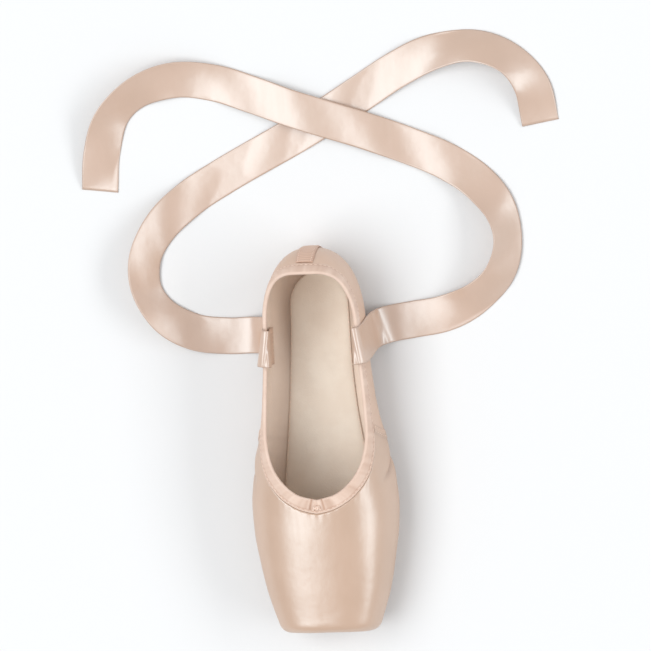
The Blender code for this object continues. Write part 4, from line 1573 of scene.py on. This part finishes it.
@dataclass
class Casing:
    """The drawstring casing: a soft cotton band folded over the open edge, slightly gathered.

    Attributes:
        thickness: From its outer face to its inner one.
        proud: How far it stands out over the last's skin.
        columns: How many ribs one side has.
        corner: Radius of its lower corners.
        fold: Radius of its folded top.
        stitch_up: Height of its stitches over its foot.
        string_up: Height of the string inside it.
        string_swell: How far the string swells it.
        pinch_off: How far its two pinches lie from the middle of the throat.
        pinch_half_width: Half the width of a pinch.
        pinch_depth: Its depth.
    """

    last: Last
    thickness: float = 2.3
    proud: float = 0.35
    columns: int = 300
    corner: float = 0.75
    fold: float = 1.05
    stitch_up: float = 1.5
    string_up: float = 5.0
    string_swell: float = 0.24
    pinch_off: float = 2.9
    pinch_half_width: float = 0.75
    pinch_depth: float = 0.6

    def profile(self) -> Array:
        """Round the band's cross-section.

        Returns:
            Its points as (up, out) from the middle of its foot, outer face first, back to
            the start.
        """
        half, width = self.thickness / 2.0, self.last.casing_width
        ups = np.linspace(self.corner, width - self.fold, 12)
        turns = np.linspace(0.0, math.pi / 2.0, 5)

        def arc(quarter: int, up: float, out: float, radius: float, angles: Array) -> list[tuple]:
            """Part of a quarter turn about a centre, the quarters counted from straight out."""
            angles = angles + quarter * math.pi / 2.0
            return [(up + radius * math.sin(a), out + radius * math.cos(a)) for a in angles]

        high, low = width - self.fold, self.corner
        loop = [(up, half) for up in ups]
        loop += arc(0, high, half - self.fold, self.fold, turns[1:])
        loop += arc(1, high, self.fold - half, self.fold, turns[:-1])
        loop += [(up, -half) for up in ups[::-1]]
        loop += arc(2, low, low - half, low, turns[1:])
        loop += arc(3, low, half - low, low, turns[:-1])
        return np.array(loop + loop[:1])

    def build(self) -> Piece:
        """Build the band, and sew its lower edge.

        Returns:
            The band.
        """
        width = self.last.casing_width
        band, levels = self.band(np.linspace(0.0, 1.0, self.columns) ** 1.12)
        normals = outward(band, ring=True)
        profile = self.profile()
        place = profile[:, 0] / width * (len(levels) - 1)
        low = np.clip(place.astype(int), 0, len(levels) - 2)
        share = (place - low)[None, :, None]
        base = band[:, low] * (1.0 - share) + band[:, low + 1] * share
        out = unit(normals[:, low] * (1.0 - share) + normals[:, low + 1] * share)
        run = runs_along(band[:, -1])
        gather = self.gather(run)[:, None]
        up, side = profile[:, 0][None], profile[:, 1][None]
        outer = steep((side + 0.2) / 0.8)
        throat = np.minimum(run, run[-1] - run)[:, None]
        pinch = bell(throat - self.pinch_off, self.pinch_half_width) * steep((up - 0.5) / 2.0)
        middle = steep(up / 2.5) * steep((width - up) / 1.5)
        string = self.string_swell * bell(up - self.string_up, 1.5)
        needle = -0.22 * bell(up - self.stitch_up, 0.5)
        folds = 0.3 * gather * middle + string * (1.0 - 0.7 * pinch) + needle
        swell = outer * (folds - self.pinch_depth * pinch) - (1.0 - outer) * 0.2 * gather * middle
        depth = self.thickness / 2.0 - self.proud
        points = base + out * (side + swell - depth)[..., None]
        top = steep((up - width + 2.5) / 2.5)
        points[..., 2] += (0.28 * gather - 0.35 * pinch - 0.3 * bell(throat, 1.6)) * top
        # Painted shade in the troughs of the gathers, along the stitch line, in the pinches and at the
        # band's foot.
        shade_and_marks = 0.5 * (0.5 - gather) * middle + 0.5 * bell(up - self.stitch_up, 0.6)
        shade_and_marks = np.clip(outer * (shade_and_marks + 0.9 * pinch**2) + 0.25 * bell(up, 0.6), 0.0, 1.0)
        around = runs_along(profile)
        uv = np.stack(np.broadcast_arrays(run[:, None], around[None]), axis=-1)
        cloth = Cloth(points, uv, {"shade_and_marks": shade_and_marks})
        piece = cloth.lay("drawstring_band", BINDING.material())
        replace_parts(piece, "drawstring_casing")
        row = int(np.argmin(np.abs(profile[:12, 0] - self.stitch_up)))
        Stitches().piece("casing_stitches", Slot.CASING, [(points[:, row], out[:, row])])
        return piece

    def band(self, half: Array) -> tuple[Array, Array]:
        """Find the skin under the band.

        Args:
            half: The ribs of one side, from 0 to 1.

        Returns:
            Its points round the shoe, and its even levels from the band's foot to the edge.
        """
        levels = np.linspace(0.0, 1.0, 9)
        rows = []
        for line in self.last.ribs(half):
            share = self.last.casing_width / runs_along(line)[-1]
            rows.append(by_length(line, 1.0 - share * (1.0 - levels)))
        right = np.array(rows)
        right[0, :, 0], right[-1, :, 0] = 0.0, 0.0
        return both_sides(right), levels

    def gather(self, run: Array) -> Array:
        """Gather the cloth along its string.

        Args:
            run: The distance round the edge, at each column.

        Returns:
            How far the cloth swells, from about -1 to 1, most at the throat.
        """
        total = run[-1]
        throat = np.minimum(run, total - run)
        strength = 0.35 + 0.65 * bell(throat, 16.0) + 0.2 * bell(throat - total / 2.0, 14.0)
        turned = 2.0 * math.pi * run / total
        place = np.stack([np.cos(turned), np.sin(turned), np.zeros_like(run)], axis=-1)
        place *= total / (2.0 * math.pi)
        slow, quick = noise_at(place / 4.2), noise_at(place / 1.9 + (9.0, 4.0, 2.0))
        return (0.75 * slow + 0.6 * quick) * strength * 1.6


@dataclass
class Drawstring:
    """The string's small knot at the middle of the throat, with two trimmed ends.

    Attributes:
        size: The knot's width, length and height.
        seat: How far down the casing it sits, as a share.
        string: The string's radius.
        turns: How many points the knot's path has.
        ends: Each trimmed end's side and length.
    """

    last: Last
    size: tuple[float, float, float] = (4.6, 3.1, 2.2)
    seat: float = 0.5
    string: float = 0.56
    turns: int = 60
    ends: tuple[tuple[float, float], ...] = ((-1.0, 1.5), (1.0, 1.1))

    def build(self) -> Piece:
        """Build the knot as one cord that winds three times round itself.

        Returns:
            The knot.
        """
        line = self.last.ribs(np.array([0.0]))[0]
        down = self.last.casing_width * np.array([1.0, self.seat, 0.0]) / runs_along(line)[-1]
        front, seat, back = by_length(line, 1.0 - down)
        tilt = math.atan2(back[2] - front[2], back[1] - front[1])
        lift = Casing.proud + GAP + self.size[2] / 2.0
        centre = seat + np.array([0.0, -math.sin(tilt), math.cos(tilt)]) * lift
        t = np.append(np.linspace(0.0, 2.0 * math.pi, self.turns, endpoint=False), 0.0)
        across = np.sin(t) + 2.0 * np.sin(2.0 * t)
        along = np.cos(t) - 2.0 * np.cos(2.0 * t)
        reach = (np.array(self.size) / 2.0 - self.string) / (3.0, 3.0, 1.0)
        loop = np.stack([across, along, -np.sin(3.0 * t)], axis=-1) * reach
        knot = self.tube(loop, centre, tilt, "string_knot")
        for side, length in self.ends:
            share = np.linspace(0.0, 1.0, 7)
            places = (side * (1.2 + 1.2 * share), -0.3 - length * share, 0.1 - 0.8 * steep(share))
            self.join(knot, self.tube(np.stack(places, axis=-1), centre, tilt, "string_end"))
        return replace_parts(knot, "drawstring_knot")

    def tube(self, path: Array, centre: Array, tilt: float, name: str) -> Piece:
        """Lay a cord along a path.

        Args:
            path: Points about the knot's middle.
            centre: That middle.
            tilt: How far the path is turned up, in radians.
            name: The cord's name.

        Returns:
            The cord.
        """
        curve = bpy.data.curves.new(name, "CURVE")
        curve.dimensions = "3D"
        curve.bevel_depth = self.string * MM
        curve.bevel_resolution = 2
        curve.use_fill_caps = True
        spline = curve.splines.new("POLY")
        spline.points.add(len(path) - 1)
        turned = np.array(Matrix.Rotation(tilt, 3, "X"))
        for point, place in zip(spline.points, to_frame(path @ turned.T + centre)):
            point.co = (*place, 1.0)
        holder = bpy.data.objects.new(name, curve)
        bpy.context.scene.collection.objects.link(holder)
        finished = holder.evaluated_get(bpy.context.evaluated_depsgraph_get())
        mesh = bpy.data.meshes.new_from_object(finished)
        bpy.data.objects.remove(holder, do_unlink=True)
        merge(mesh)
        mesh.name = name
        return show(name, mesh, CORD.material())

    @staticmethod
    def join(piece: Piece, other: Piece) -> None:
        """Add another piece's mesh to a piece.

        Args:
            piece: The piece that grows.
            other: The other one, which is removed.
        """
        bm = bmesh.new()
        bm.from_mesh(piece.data)
        bm.from_mesh(other.data)
        bm.to_mesh(piece.data)
        bm.free()
        bpy.data.objects.remove(other, do_unlink=True)


@dataclass
class Outsole:
    """The suede sole: cut rim, soft edges and a raised middle that fills the lasted opening.

    Attributes:
        thickness: Of the suede.
        edge_round: Radius of its lower edge.
        plug_gap: Room between the raised middle and the upper's turned-in edge.
        columns: How many rows of points it has from tip to heel.
        join_shade: How dark the join to the upper is, from the rim inwards.
        ball: The middle and half the length of the scored part.
    """

    last: Last
    thickness: float = 3.0
    edge_round: float = 0.7
    plug_gap: float = 0.5
    columns: int = 220
    join_shade: tuple[float, ...] = (0.0, 0.0, 0.15, 0.45, 0.9, 1.0)
    ball: tuple[float, float] = (76.0, 34.0)

    def build(self) -> Piece:
        """Build the sole as one loop of rows round each station.

        Returns:
            The sole.
        """
        last = self.last
        shares = np.linspace(0.0, 1.0, self.columns)
        plug = last.lasting_margin + self.plug_gap

        def bottom(inset: float, lift: float = 0.0) -> Array:
            """A row of the face on the floor."""
            x, y = last.sole_outline(shares, inset)
            under = read(last.sections, "z_bottom", y) - GAP - self.thickness
            return np.stack([x, y, np.maximum(under, 0.0) + lift], axis=-1)

        def top(inset: float, lift: float = -GAP) -> Array:
            """A row of the face under the upper."""
            x, y = last.sole_outline(shares, inset)
            return np.stack([x, y, last.underside(x, y) + lift], axis=-1)

        inner = np.linspace(0.0, 1.0, 12, endpoint=False)
        rows = [(bottom(plug) * (share, 1.0, 1.0), 0.0) for share in inner]
        rows += [(bottom(inset), 0.0) for inset in np.linspace(plug, self.edge_round, 6)]
        for angle in np.linspace(0.0, math.pi / 2.0, 5)[1:]:
            inset = self.edge_round * (1.0 - math.sin(angle))
            lift = self.edge_round * (1.0 - math.cos(angle))
            rows.append((bottom(inset, lift), 0.5 * math.sin(angle)))
        low, high = rows[-1][0], top(0.0)
        rows += [(low * (1.0 - share) + high * share, 1.0) for share in (0.2, 0.4, 0.6, 0.8, 1.0)]
        rows += [(top(inset), 0.6) for inset in (1.5, 3.5, plug)]
        rows.append((top(plug, last.quarter_wall), 0.0))
        crown = rows[-1][0] * (0.0, 1.0, 1.0)
        crown[:, 2] = last.underside(crown[:, 0], crown[:, 1]) + last.quarter_wall
        rows.append((crown, 0.0))
        points = both_sides(np.stack([row for row, _ in rows], axis=1), axis=1)
        rim, shade_and_marks = np.array([share for _, share in rows]), np.zeros(len(rows))
        shade_and_marks[-9:-3] = self.join_shade
        rim, shade_and_marks = (np.concatenate([line, line[-2::-1]])[None] for line in (rim, shade_and_marks))
        middle, reach = self.ball
        ball = bell(points[..., 1] - middle, reach) * (1.0 - rim)
        masks = {"rim": rim * (1.0 - shade_and_marks), "shade_and_marks": shade_and_marks, "ball": ball}
        piece = Cloth(points, points[..., (1, 0)], masks).lay("suede_sole", SUEDE.material())
        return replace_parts(piece, "outsole")


@dataclass
class Insole:
    """The cotton sock on its board, pressed to the foot's print, with an overcast edge.

    Attributes:
        thickness: Of the sock on its board.
        width_share: Its width, as a share of the last's.
        span: Where it starts and ends.
        rounds: Length of its rounding at the toe and at the heel.
        pleat_depth: How far the pleats under the toe lift it.
        edge_column: How many rows of points in from the edge its stitches lie.
    """

    last: Last
    thickness: float = 1.3
    width_share: float = 0.6
    span: tuple[float, float] = (14.0, 216.0)
    rounds: tuple[float, float] = (16.0, 20.0)
    pleat_depth: float = 0.7
    edge_column: int = 3

    def floor(self, station: Array) -> Array:
        """How far over the last's underside the insole lies."""
        tucked = 1.0 - steep((station - self.last.sole_tip) / self.last.sole_tip_round)
        return self.last.wall(station) + GAP + self.pleat_depth * tucked

    def build(self) -> Piece:
        """Build the sock, and overcast its edge.

        Returns:
            The sock.
        """
        start, end = self.span
        y = start + (end - start) * (1.0 - np.cos(np.linspace(0.0, math.pi, 190))) / 2.0
        across = np.sin(np.linspace(-1.0, 1.0, 45) * math.pi / 2.0)[None]
        widest = read(self.last.sections, "half_width", y) * self.width_share
        x = (widest * rounded(y, self.span, self.rounds))[:, None] * across
        y = np.broadcast_to(y[:, None], x.shape)
        base = self.last.underside(x, y) + self.floor(y)
        crown = self.thickness * (1.0 - 0.55 * np.abs(across) ** 14)
        pressed = 0.28 * bell(y - 68.0, 20.0) * bell(x, 17.0)
        pressed = pressed + 0.3 * bell(y - 192.0, 15.0) * bell(x, 11.0)
        wrinkle = noise_at(np.stack([x / 9.0, y / 14.0, np.full_like(x, 0.3)], axis=-1))
        upper = np.stack([x, y, base + crown - pressed + 0.08 * wrinkle], axis=-1)
        lower = np.stack([x, y, base], axis=-1)
        points = np.concatenate([upper[:, ::-1], lower, upper[:, -1:]], axis=1)
        # Painted shade at the sock's edge, by the wall, and darker where the foot's print is pressed in;
        # its underside is painted in shade.
        edge_shade_and_print = 0.55 * np.abs(across) ** 10 + 0.25 * (pressed / 0.3)
        under = np.full_like(edge_shade_and_print, 0.6)
        shade_and_marks = np.concatenate([edge_shade_and_print[:, ::-1], under, edge_shade_and_print[:, -1:]], axis=1)
        cloth = Cloth(points, points[..., (0, 1)], {"shade_and_marks": np.clip(shade_and_marks, 0.0, 1.0)})
        piece = cloth.lay("cotton_sock", SOCK.material())
        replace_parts(piece, "insole")
        edges = (upper[6:-6, self.edge_column], upper[6:-6, -self.edge_column - 1])
        rows = [(line, np.zeros_like(line) + (0.0, 0.0, 1.0)) for line in edges]
        Stitches(length=1.9, gap=1.0, proud=0.1).piece("sock_stitches", Slot.INSOLE, rows)
        return piece


@dataclass
class BackStrip:
    """The ribbed strip that covers the centre back seam, stitched down both edges.

    Attributes:
        share: Half its width, as a share of a side.
        foot: How far up the ribs of the skin it starts.
        thickness: Of the strip.
        rib_pitch: Spacing of its ribs.
        rib_height: Their height.
        half_width: Half its width on the cloth coordinates.
        edge_column: How many rows of points in from the edge its stitches lie.
    """

    last: Last
    share: float = 0.02
    foot: float = 14.0
    thickness: float = STRIP_THICKNESS
    rib_pitch: float = 1.9
    rib_height: float = 0.14
    half_width: float = 5.6
    edge_column: int = 3

    def build(self) -> Piece:
        """Build the strip, and sew it down.

        Returns:
            The strip.
        """
        rows = np.linspace(0.0, 1.0, 150)
        head = self.last.casing_width + 2.0 * GAP
        lines, runs = [], []
        for line in self.last.ribs(np.linspace(1.0 - self.share, 1.0, 13)):
            length = runs_along(line)[-1]
            kept = self.foot + (length - self.foot - head) * rows
            lines.append(by_length(line, kept / length))
            runs.append(kept)
        right = np.array(lines)
        right[-1, :, 0] = 0.0
        points = both_sides(right)
        run = np.concatenate([runs, runs[-2::-1]])
        normals = outward(points)
        across = np.linspace(-1.0, 1.0, len(points))[:, None]
        ridge = 0.5 + 0.5 * np.cos(2.0 * math.pi * run / self.rib_pitch)
        edge = np.abs(across) ** 6
        lift = GAP + self.thickness * (1.0 - 0.45 * edge) + self.rib_height * (ridge - 0.7)
        shown = points + normals * lift[..., None]
        uv = np.stack(np.broadcast_arrays(self.half_width * across, run), axis=-1)
        # Painted shade between the ribs and at the strip's edges.
        shade_and_marks = np.clip(0.55 * (1.0 - ridge) ** 2 + 0.3 * edge, 0.0, 1.0)
        cloth = Cloth(shown, uv, {"shade_and_marks": shade_and_marks})
        piece = cloth.lay("back_strip", GROSGRAIN.material())
        thicken(piece, self.thickness / 2.0)
        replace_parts(piece, "back_seam_strip")
        edges = (self.edge_column, -self.edge_column - 1)
        sewn = [(shown[column], normals[column]) for column in edges]
        Stitches(length=1.8, width=0.4, proud=0.1).piece("strip_stitches", Slot.STRIP, sewn)
        return piece


class Side(Enum):
    """Which quarter a ribbon is sewn to."""

    RIGHT = "right"
    LEFT = "left"


@dataclass
class Ribbon:
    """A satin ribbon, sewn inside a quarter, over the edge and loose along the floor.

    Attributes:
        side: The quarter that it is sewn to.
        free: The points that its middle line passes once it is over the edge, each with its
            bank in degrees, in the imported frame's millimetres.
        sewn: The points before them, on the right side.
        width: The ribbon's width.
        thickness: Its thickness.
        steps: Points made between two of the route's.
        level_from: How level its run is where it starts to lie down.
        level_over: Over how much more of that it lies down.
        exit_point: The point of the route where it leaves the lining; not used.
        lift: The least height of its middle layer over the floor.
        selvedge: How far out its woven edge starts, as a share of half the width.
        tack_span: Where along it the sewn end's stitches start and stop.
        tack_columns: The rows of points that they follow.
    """

    side: Side
    free: tuple[tuple[float, float, float, float], ...]
    sewn: tuple[tuple[float, float, float], ...] = (
        (26.8, 57.0, 20.0),
        (27.0, 57.0, 29.0),
        (26.2, 57.0, 37.0),
        (24.9, 57.0, 43.5),
        (25.2, 57.2, 47.2),
        (27.6, 57.6, 49.2),
        (30.2, 58.0, 47.2),
        (31.0, 58.5, 42.5),
        (31.9, 60.0, 32.0),
    )
    width: float = 22.0
    thickness: float = 0.4
    steps: int = 14
    level_from: float = 0.5
    level_over: float = 0.4
    exit_point: int = 2
    lift: float = 0.35
    selvedge: float = 0.9
    tack_span: tuple[float, float] = (2.5, 17.5)
    tack_columns: tuple[int, int] = (3, 21)

    @property
    def hand(self) -> float:
        """1 on the right side, and -1 on the left."""
        return 1.0 if self.side is Side.RIGHT else -1.0

    @property
    def route(self) -> Array:
        """The whole route, its sewn end on this ribbon's side."""
        return np.array([*((self.hand * x, y, z, 0.0) for x, y, z in self.sewn), *self.free])

    def frames(self) -> tuple[Array, Array, Array]:
        """Work out how the ribbon lies.

        Returns:
            The middle line, and the directions across the ribbon and out of it.
        """
        line = smooth_line(self.route, self.steps)
        along = unit(np.gradient(line[:, :3], axis=0))
        across = np.zeros_like(along)
        across[0] = (0.0, 1.0, 0.0)
        for i in range(1, len(line)):
            level = np.cross((0.0, 0.0, 1.0), along[i])
            level *= np.sign(level @ across[i - 1]) or 1.0
            level_run = math.hypot(along[i, 0], along[i, 1])
            lying = steep((level_run - self.level_from) / self.level_over)
            guide = across[i - 1] * (1.0 - lying) + level * lying
            across[i] = unit(guide - along[i] * (guide @ along[i]))
        raised = np.cross(along, across)
        raised *= np.where(raised[:, 2:] < 0.0, -1.0, 1.0)
        bank = np.radians(line[:, 3:4])
        lie = across * np.cos(bank) + raised * np.sin(bank)
        face = unit(np.cross(along, lie))
        return line[:, :3], lie, face * np.where(face[:, 2:] < 0.0, -1.0, 1.0)

    def build(self) -> Piece:
        """Returns:
            The ribbon.
        """
        line, lie, face = self.frames()
        along = runs_along(line)
        run, across = along[:, None], np.linspace(-1.0, 1.0, 25)[None]
        free = steep((run - 95.0) / 40.0)
        phase = 0.0 if self.side is Side.RIGHT else 2.1
        ripple = 0.5 * np.sin(run / 7.5 + phase + 1.4 * across)
        ripple = ripple + 0.45 * np.sin(run / 13.0 + 2.0 * phase) * across**2
        cup = 0.5 * across**2 * np.sin(run / 29.0 + phase)
        points = line[:, None] + lie[:, None] * (self.width / 2.0 * across)[..., None]
        points = points + face[:, None] * ((ripple + cup) * free)[..., None]
        points[..., 2] = np.maximum(points[..., 2], self.lift)
        points = points + (0.0, MIDDLE, 0.0)
        edge = steep((np.abs(across) - self.selvedge) / 0.05)
        inner = bell(np.abs(across) - self.selvedge + 0.015, 0.02)
        masks = {"shade_and_marks": 0.25 * edge + 0.55 * inner, "quarter": edge}
        uv = np.stack(np.broadcast_arrays(self.width / 2.0 * across, run), axis=-1)
        name = "ribbon_satin_" + self.side.value
        piece = Cloth(points, uv, masks).lay(name, RIBBON_SATIN.material())
        thicken(piece, self.thickness, 0.0)
        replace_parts(piece, "ribbon_" + self.side.value)
        LOG.info("%s: %.0f mm long", name, along[-1])
        self.tack(points, along)
        return piece

    def tack(self, points: Array, run: Array) -> None:
        """Sew the end down inside the quarter, in a box of small stitches.

        Args:
            points: The ribbon's points, in the shoe's frame.
            run: The distance along it of each row.
        """
        foot, head = np.searchsorted(run, self.tack_span)
        near, far = self.tack_columns
        box = (points[foot:head, near], points[foot, near:far], points[foot:head, far],
               points[head, near:far])
        rows = [(line, np.zeros_like(line) + (-self.hand, 0.0, 0.0)) for line in box]
        sewer = Stitches(length=1.5, width=0.4, proud=0.28)
        sewer.piece("ribbon_stitches_" + self.side.value, Slot.RIBBON, rows)


RIGHT_RUN = (
    (32.4, 62.0, 19.0, 0.0),
    (34.5, 64.0, 8.0, 0.0),
    (42.0, 66.0, 1.6, 0.0),
    (56.0, 68.0, 0.6, 0.0),
    (75.0, 71.0, 1.8, 10.0),
    (94.0, 79.0, 5.4, 27.0),
    (109.0, 93.0, 8.4, 42.0),
    (115.0, 112.0, 9.2, 46.0),
    (111.0, 132.0, 7.4, 36.0),
    (98.0, 149.0, 3.8, 17.0),
    (79.0, 162.0, 1.2, 4.0),
    (57.0, 172.0, 1.0, 0.0),
    (34.0, 181.0, 3.0, 0.0),
    (11.0, 189.0, 4.4, 0.0),
    (-12.0, 197.0, 4.2, 0.0),
    (-35.0, 206.0, 2.2, 0.0),
    (-58.0, 214.0, 1.0, -3.0),
    (-82.0, 217.0, 3.4, -16.0),
    (-104.0, 211.0, 6.6, -32.0),
    (-120.0, 196.0, 7.4, -36.0),
    (-128.0, 175.0, 3.6, -16.0),
    (-131.0, 152.0, 0.6, 0.0),
)

LEFT_RUN = (
    (-32.4, 61.0, 19.0, 0.0),
    (-35.0, 62.0, 8.0, 0.0),
    (-43.0, 62.0, 1.6, 0.0),
    (-58.0, 62.0, 0.6, 0.0),
    (-77.0, 65.0, 2.4, -13.0),
    (-94.0, 75.0, 6.6, -33.0),
    (-104.0, 92.0, 9.0, -45.0),
    (-104.0, 112.0, 8.2, -40.0),
    (-94.0, 130.0, 4.6, -21.0),
    (-77.0, 145.0, 1.4, -5.0),
    (-57.0, 157.0, 0.6, 0.0),
    (-36.0, 168.0, 0.6, 0.0),
    (-14.0, 179.0, 0.6, 0.0),
    (8.0, 191.0, 0.6, 0.0),
    (30.0, 204.0, 0.6, 0.0),
    (52.0, 217.0, 1.2, 4.0),
    (75.0, 227.0, 3.8, 17.0),
    (99.0, 230.0, 6.8, 33.0),
    (120.0, 222.0, 7.6, 37.0),
    (133.0, 205.0, 4.6, 21.0),
    (137.0, 182.0, 0.8, 2.0),
)


@dataclass
class Softbox:
    """A soft light, aimed at the shoe.

    Attributes:
        name: Its name.
        aside: How far it leans from overhead to the right, in degrees.
        along: How far it leans towards the heel, in degrees.
        distance: From the shoe, in metres.
        size: Its length along the shoe and its width, in metres.
        power: In watts.
        colour: Its tint.
    """

    name: str
    aside: float
    along: float
    distance: float
    size: tuple[float, float]
    power: float
    colour: Colour = (0.965, 0.985, 1.0)

    def hang(self) -> Piece:
        """Hang the light, aimed at the shoe.

        Returns:
            The light.
        """
        light = bpy.data.lights.new(self.name, "AREA")
        light.shape = "RECTANGLE"
        light.size, light.size_y = self.size
        light.energy = self.power
        light.color = self.colour
        lamp = bpy.data.objects.new(self.name, light)
        aside, along = math.radians(self.aside), math.radians(self.along)
        high = math.cos(aside)
        direction = Vector((math.sin(aside), math.sin(along) * high, math.cos(along) * high))
        lamp.location = direction * self.distance
        lamp.rotation_euler = direction.to_track_quat("Z", "Y").to_euler()
        bpy.context.scene.collection.objects.link(lamp)
        return lamp


@dataclass
class Studio:
    """A pale floor, soft light and the camera at the photograph's angle to the shoe.

    Attributes:
        lean_side: How far the camera stands off the middle plane, to the right, in degrees.
        lean_back: How far it stands off overhead towards the heel, in degrees.
        roll: How far the picture turns, in degrees.
        width: What the picture's side shows, in metres.
        middle: The point of the floor in the picture's middle, in metres.
        distance: From that point to the camera, in metres.
        sensor: Width of the camera's sensor, in millimetres.
        floor_reach: How far the floor goes each way, in metres.
        floor_tone: Its colour, and floor_roughness how matt it is.
        sky: The room's colour, and sky_strength how bright it is.
        lights: The soft lights.
    """

    lean_side: float = 9.0
    lean_back: float = 5.0
    roll: float = 2.82
    width: float = 0.39
    middle: tuple[float, float, float] = (0.002, 0.066, 0.0)
    distance: float = 3.0
    sensor: float = 36.0
    floor_reach: float = 14.0
    floor_tone: Colour = (0.79, 0.79, 0.79)
    floor_roughness: float = 0.9
    sky: Colour = (0.97, 0.985, 1.0)
    sky_strength: float = 0.58
    lights: tuple[Softbox, ...] = (
        Softbox("key box", -27.0, 0.0, 12.8, (13.6, 8.0), 1150.0),
        Softbox("side box", 56.0, 0.0, 12.0, (12.0, 3.4), 560.0),
    )

    def lay_floor(self) -> Piece:
        """Lay the floor.

        Returns:
            The floor.
        """
        bm = bmesh.new()
        bmesh.ops.create_grid(bm, x_segments=1, y_segments=1, size=self.floor_reach)
        mesh = bpy.data.meshes.new("floor")
        bm.to_mesh(mesh)
        bm.free()
        material = bpy.data.materials.new("pale floor")
        material.use_nodes = True
        shader = material.node_tree.nodes["Principled BSDF"]
        shader.inputs["Base Color"].default_value = opaque(self.floor_tone)
        shader.inputs["Roughness"].default_value = self.floor_roughness
        mesh.materials.append(material)
        floor = bpy.data.objects.new("floor", mesh)
        bpy.context.scene.collection.objects.link(floor)
        return floor

    def set_camera(self) -> Piece:
        """Stand the camera.

        Returns:
            The camera.
        """
        side, back = math.radians(self.lean_side), math.radians(self.lean_back)
        roll = math.radians(self.roll)
        level = Vector((math.cos(side), 0.0, -math.sin(side)))
        low = -math.sin(back)
        up = Vector((low * math.sin(side), math.cos(back), low * math.cos(side)))
        right = level * math.cos(roll) - up * math.sin(roll)
        above = level * math.sin(roll) + up * math.cos(roll)
        towards = right.cross(above)
        data = bpy.data.cameras.new("camera")
        data.sensor_width = self.sensor
        data.lens = self.sensor * self.distance / self.width
        data.clip_end = 100.0
        camera = bpy.data.objects.new("camera", data)
        turned = Matrix((right, above, towards)).transposed().to_4x4()
        place = Matrix.Translation(Vector(self.middle) + towards * self.distance)
        camera.matrix_world = place @ turned
        bpy.context.scene.collection.objects.link(camera)
        bpy.context.scene.camera = camera
        return camera

    def set_sky(self) -> None:
        """Fill the room with pale light."""
        world = bpy.data.worlds.new("room")
        world.use_nodes = True
        light = world.node_tree.nodes["Background"]
        light.inputs["Color"].default_value = opaque(self.sky)
        light.inputs["Strength"].default_value = self.sky_strength
        bpy.context.scene.world = world
        bpy.context.scene.view_settings.view_transform = "Standard"

    def build(self) -> None:
        """Set the whole studio."""
        self.lay_floor()
        self.set_camera()
        self.set_sky()
        for light in self.lights:
            light.hang()


def main() -> None:
    """Build the shoe in a maker's order, after the camera and the ribbons."""
    logging.basicConfig(level=logging.INFO, format="%(name)s %(message)s")
    Studio().build()
    last = Last()
    pieces = [
        Ribbon(Side.RIGHT, RIGHT_RUN),
        Ribbon(Side.LEFT, LEFT_RUN),
        Lining(last),
        Insole(last),
        Upper(last),
        Outsole(last),
        Casing(last),
        Drawstring(last),
        BackStrip(last),
    ]
    for piece in pieces:
        built = piece.build()
        LOG.info("%s: %d faces", built.name, len(built.data.polygons))


if __name__ == "__main__":
    main()
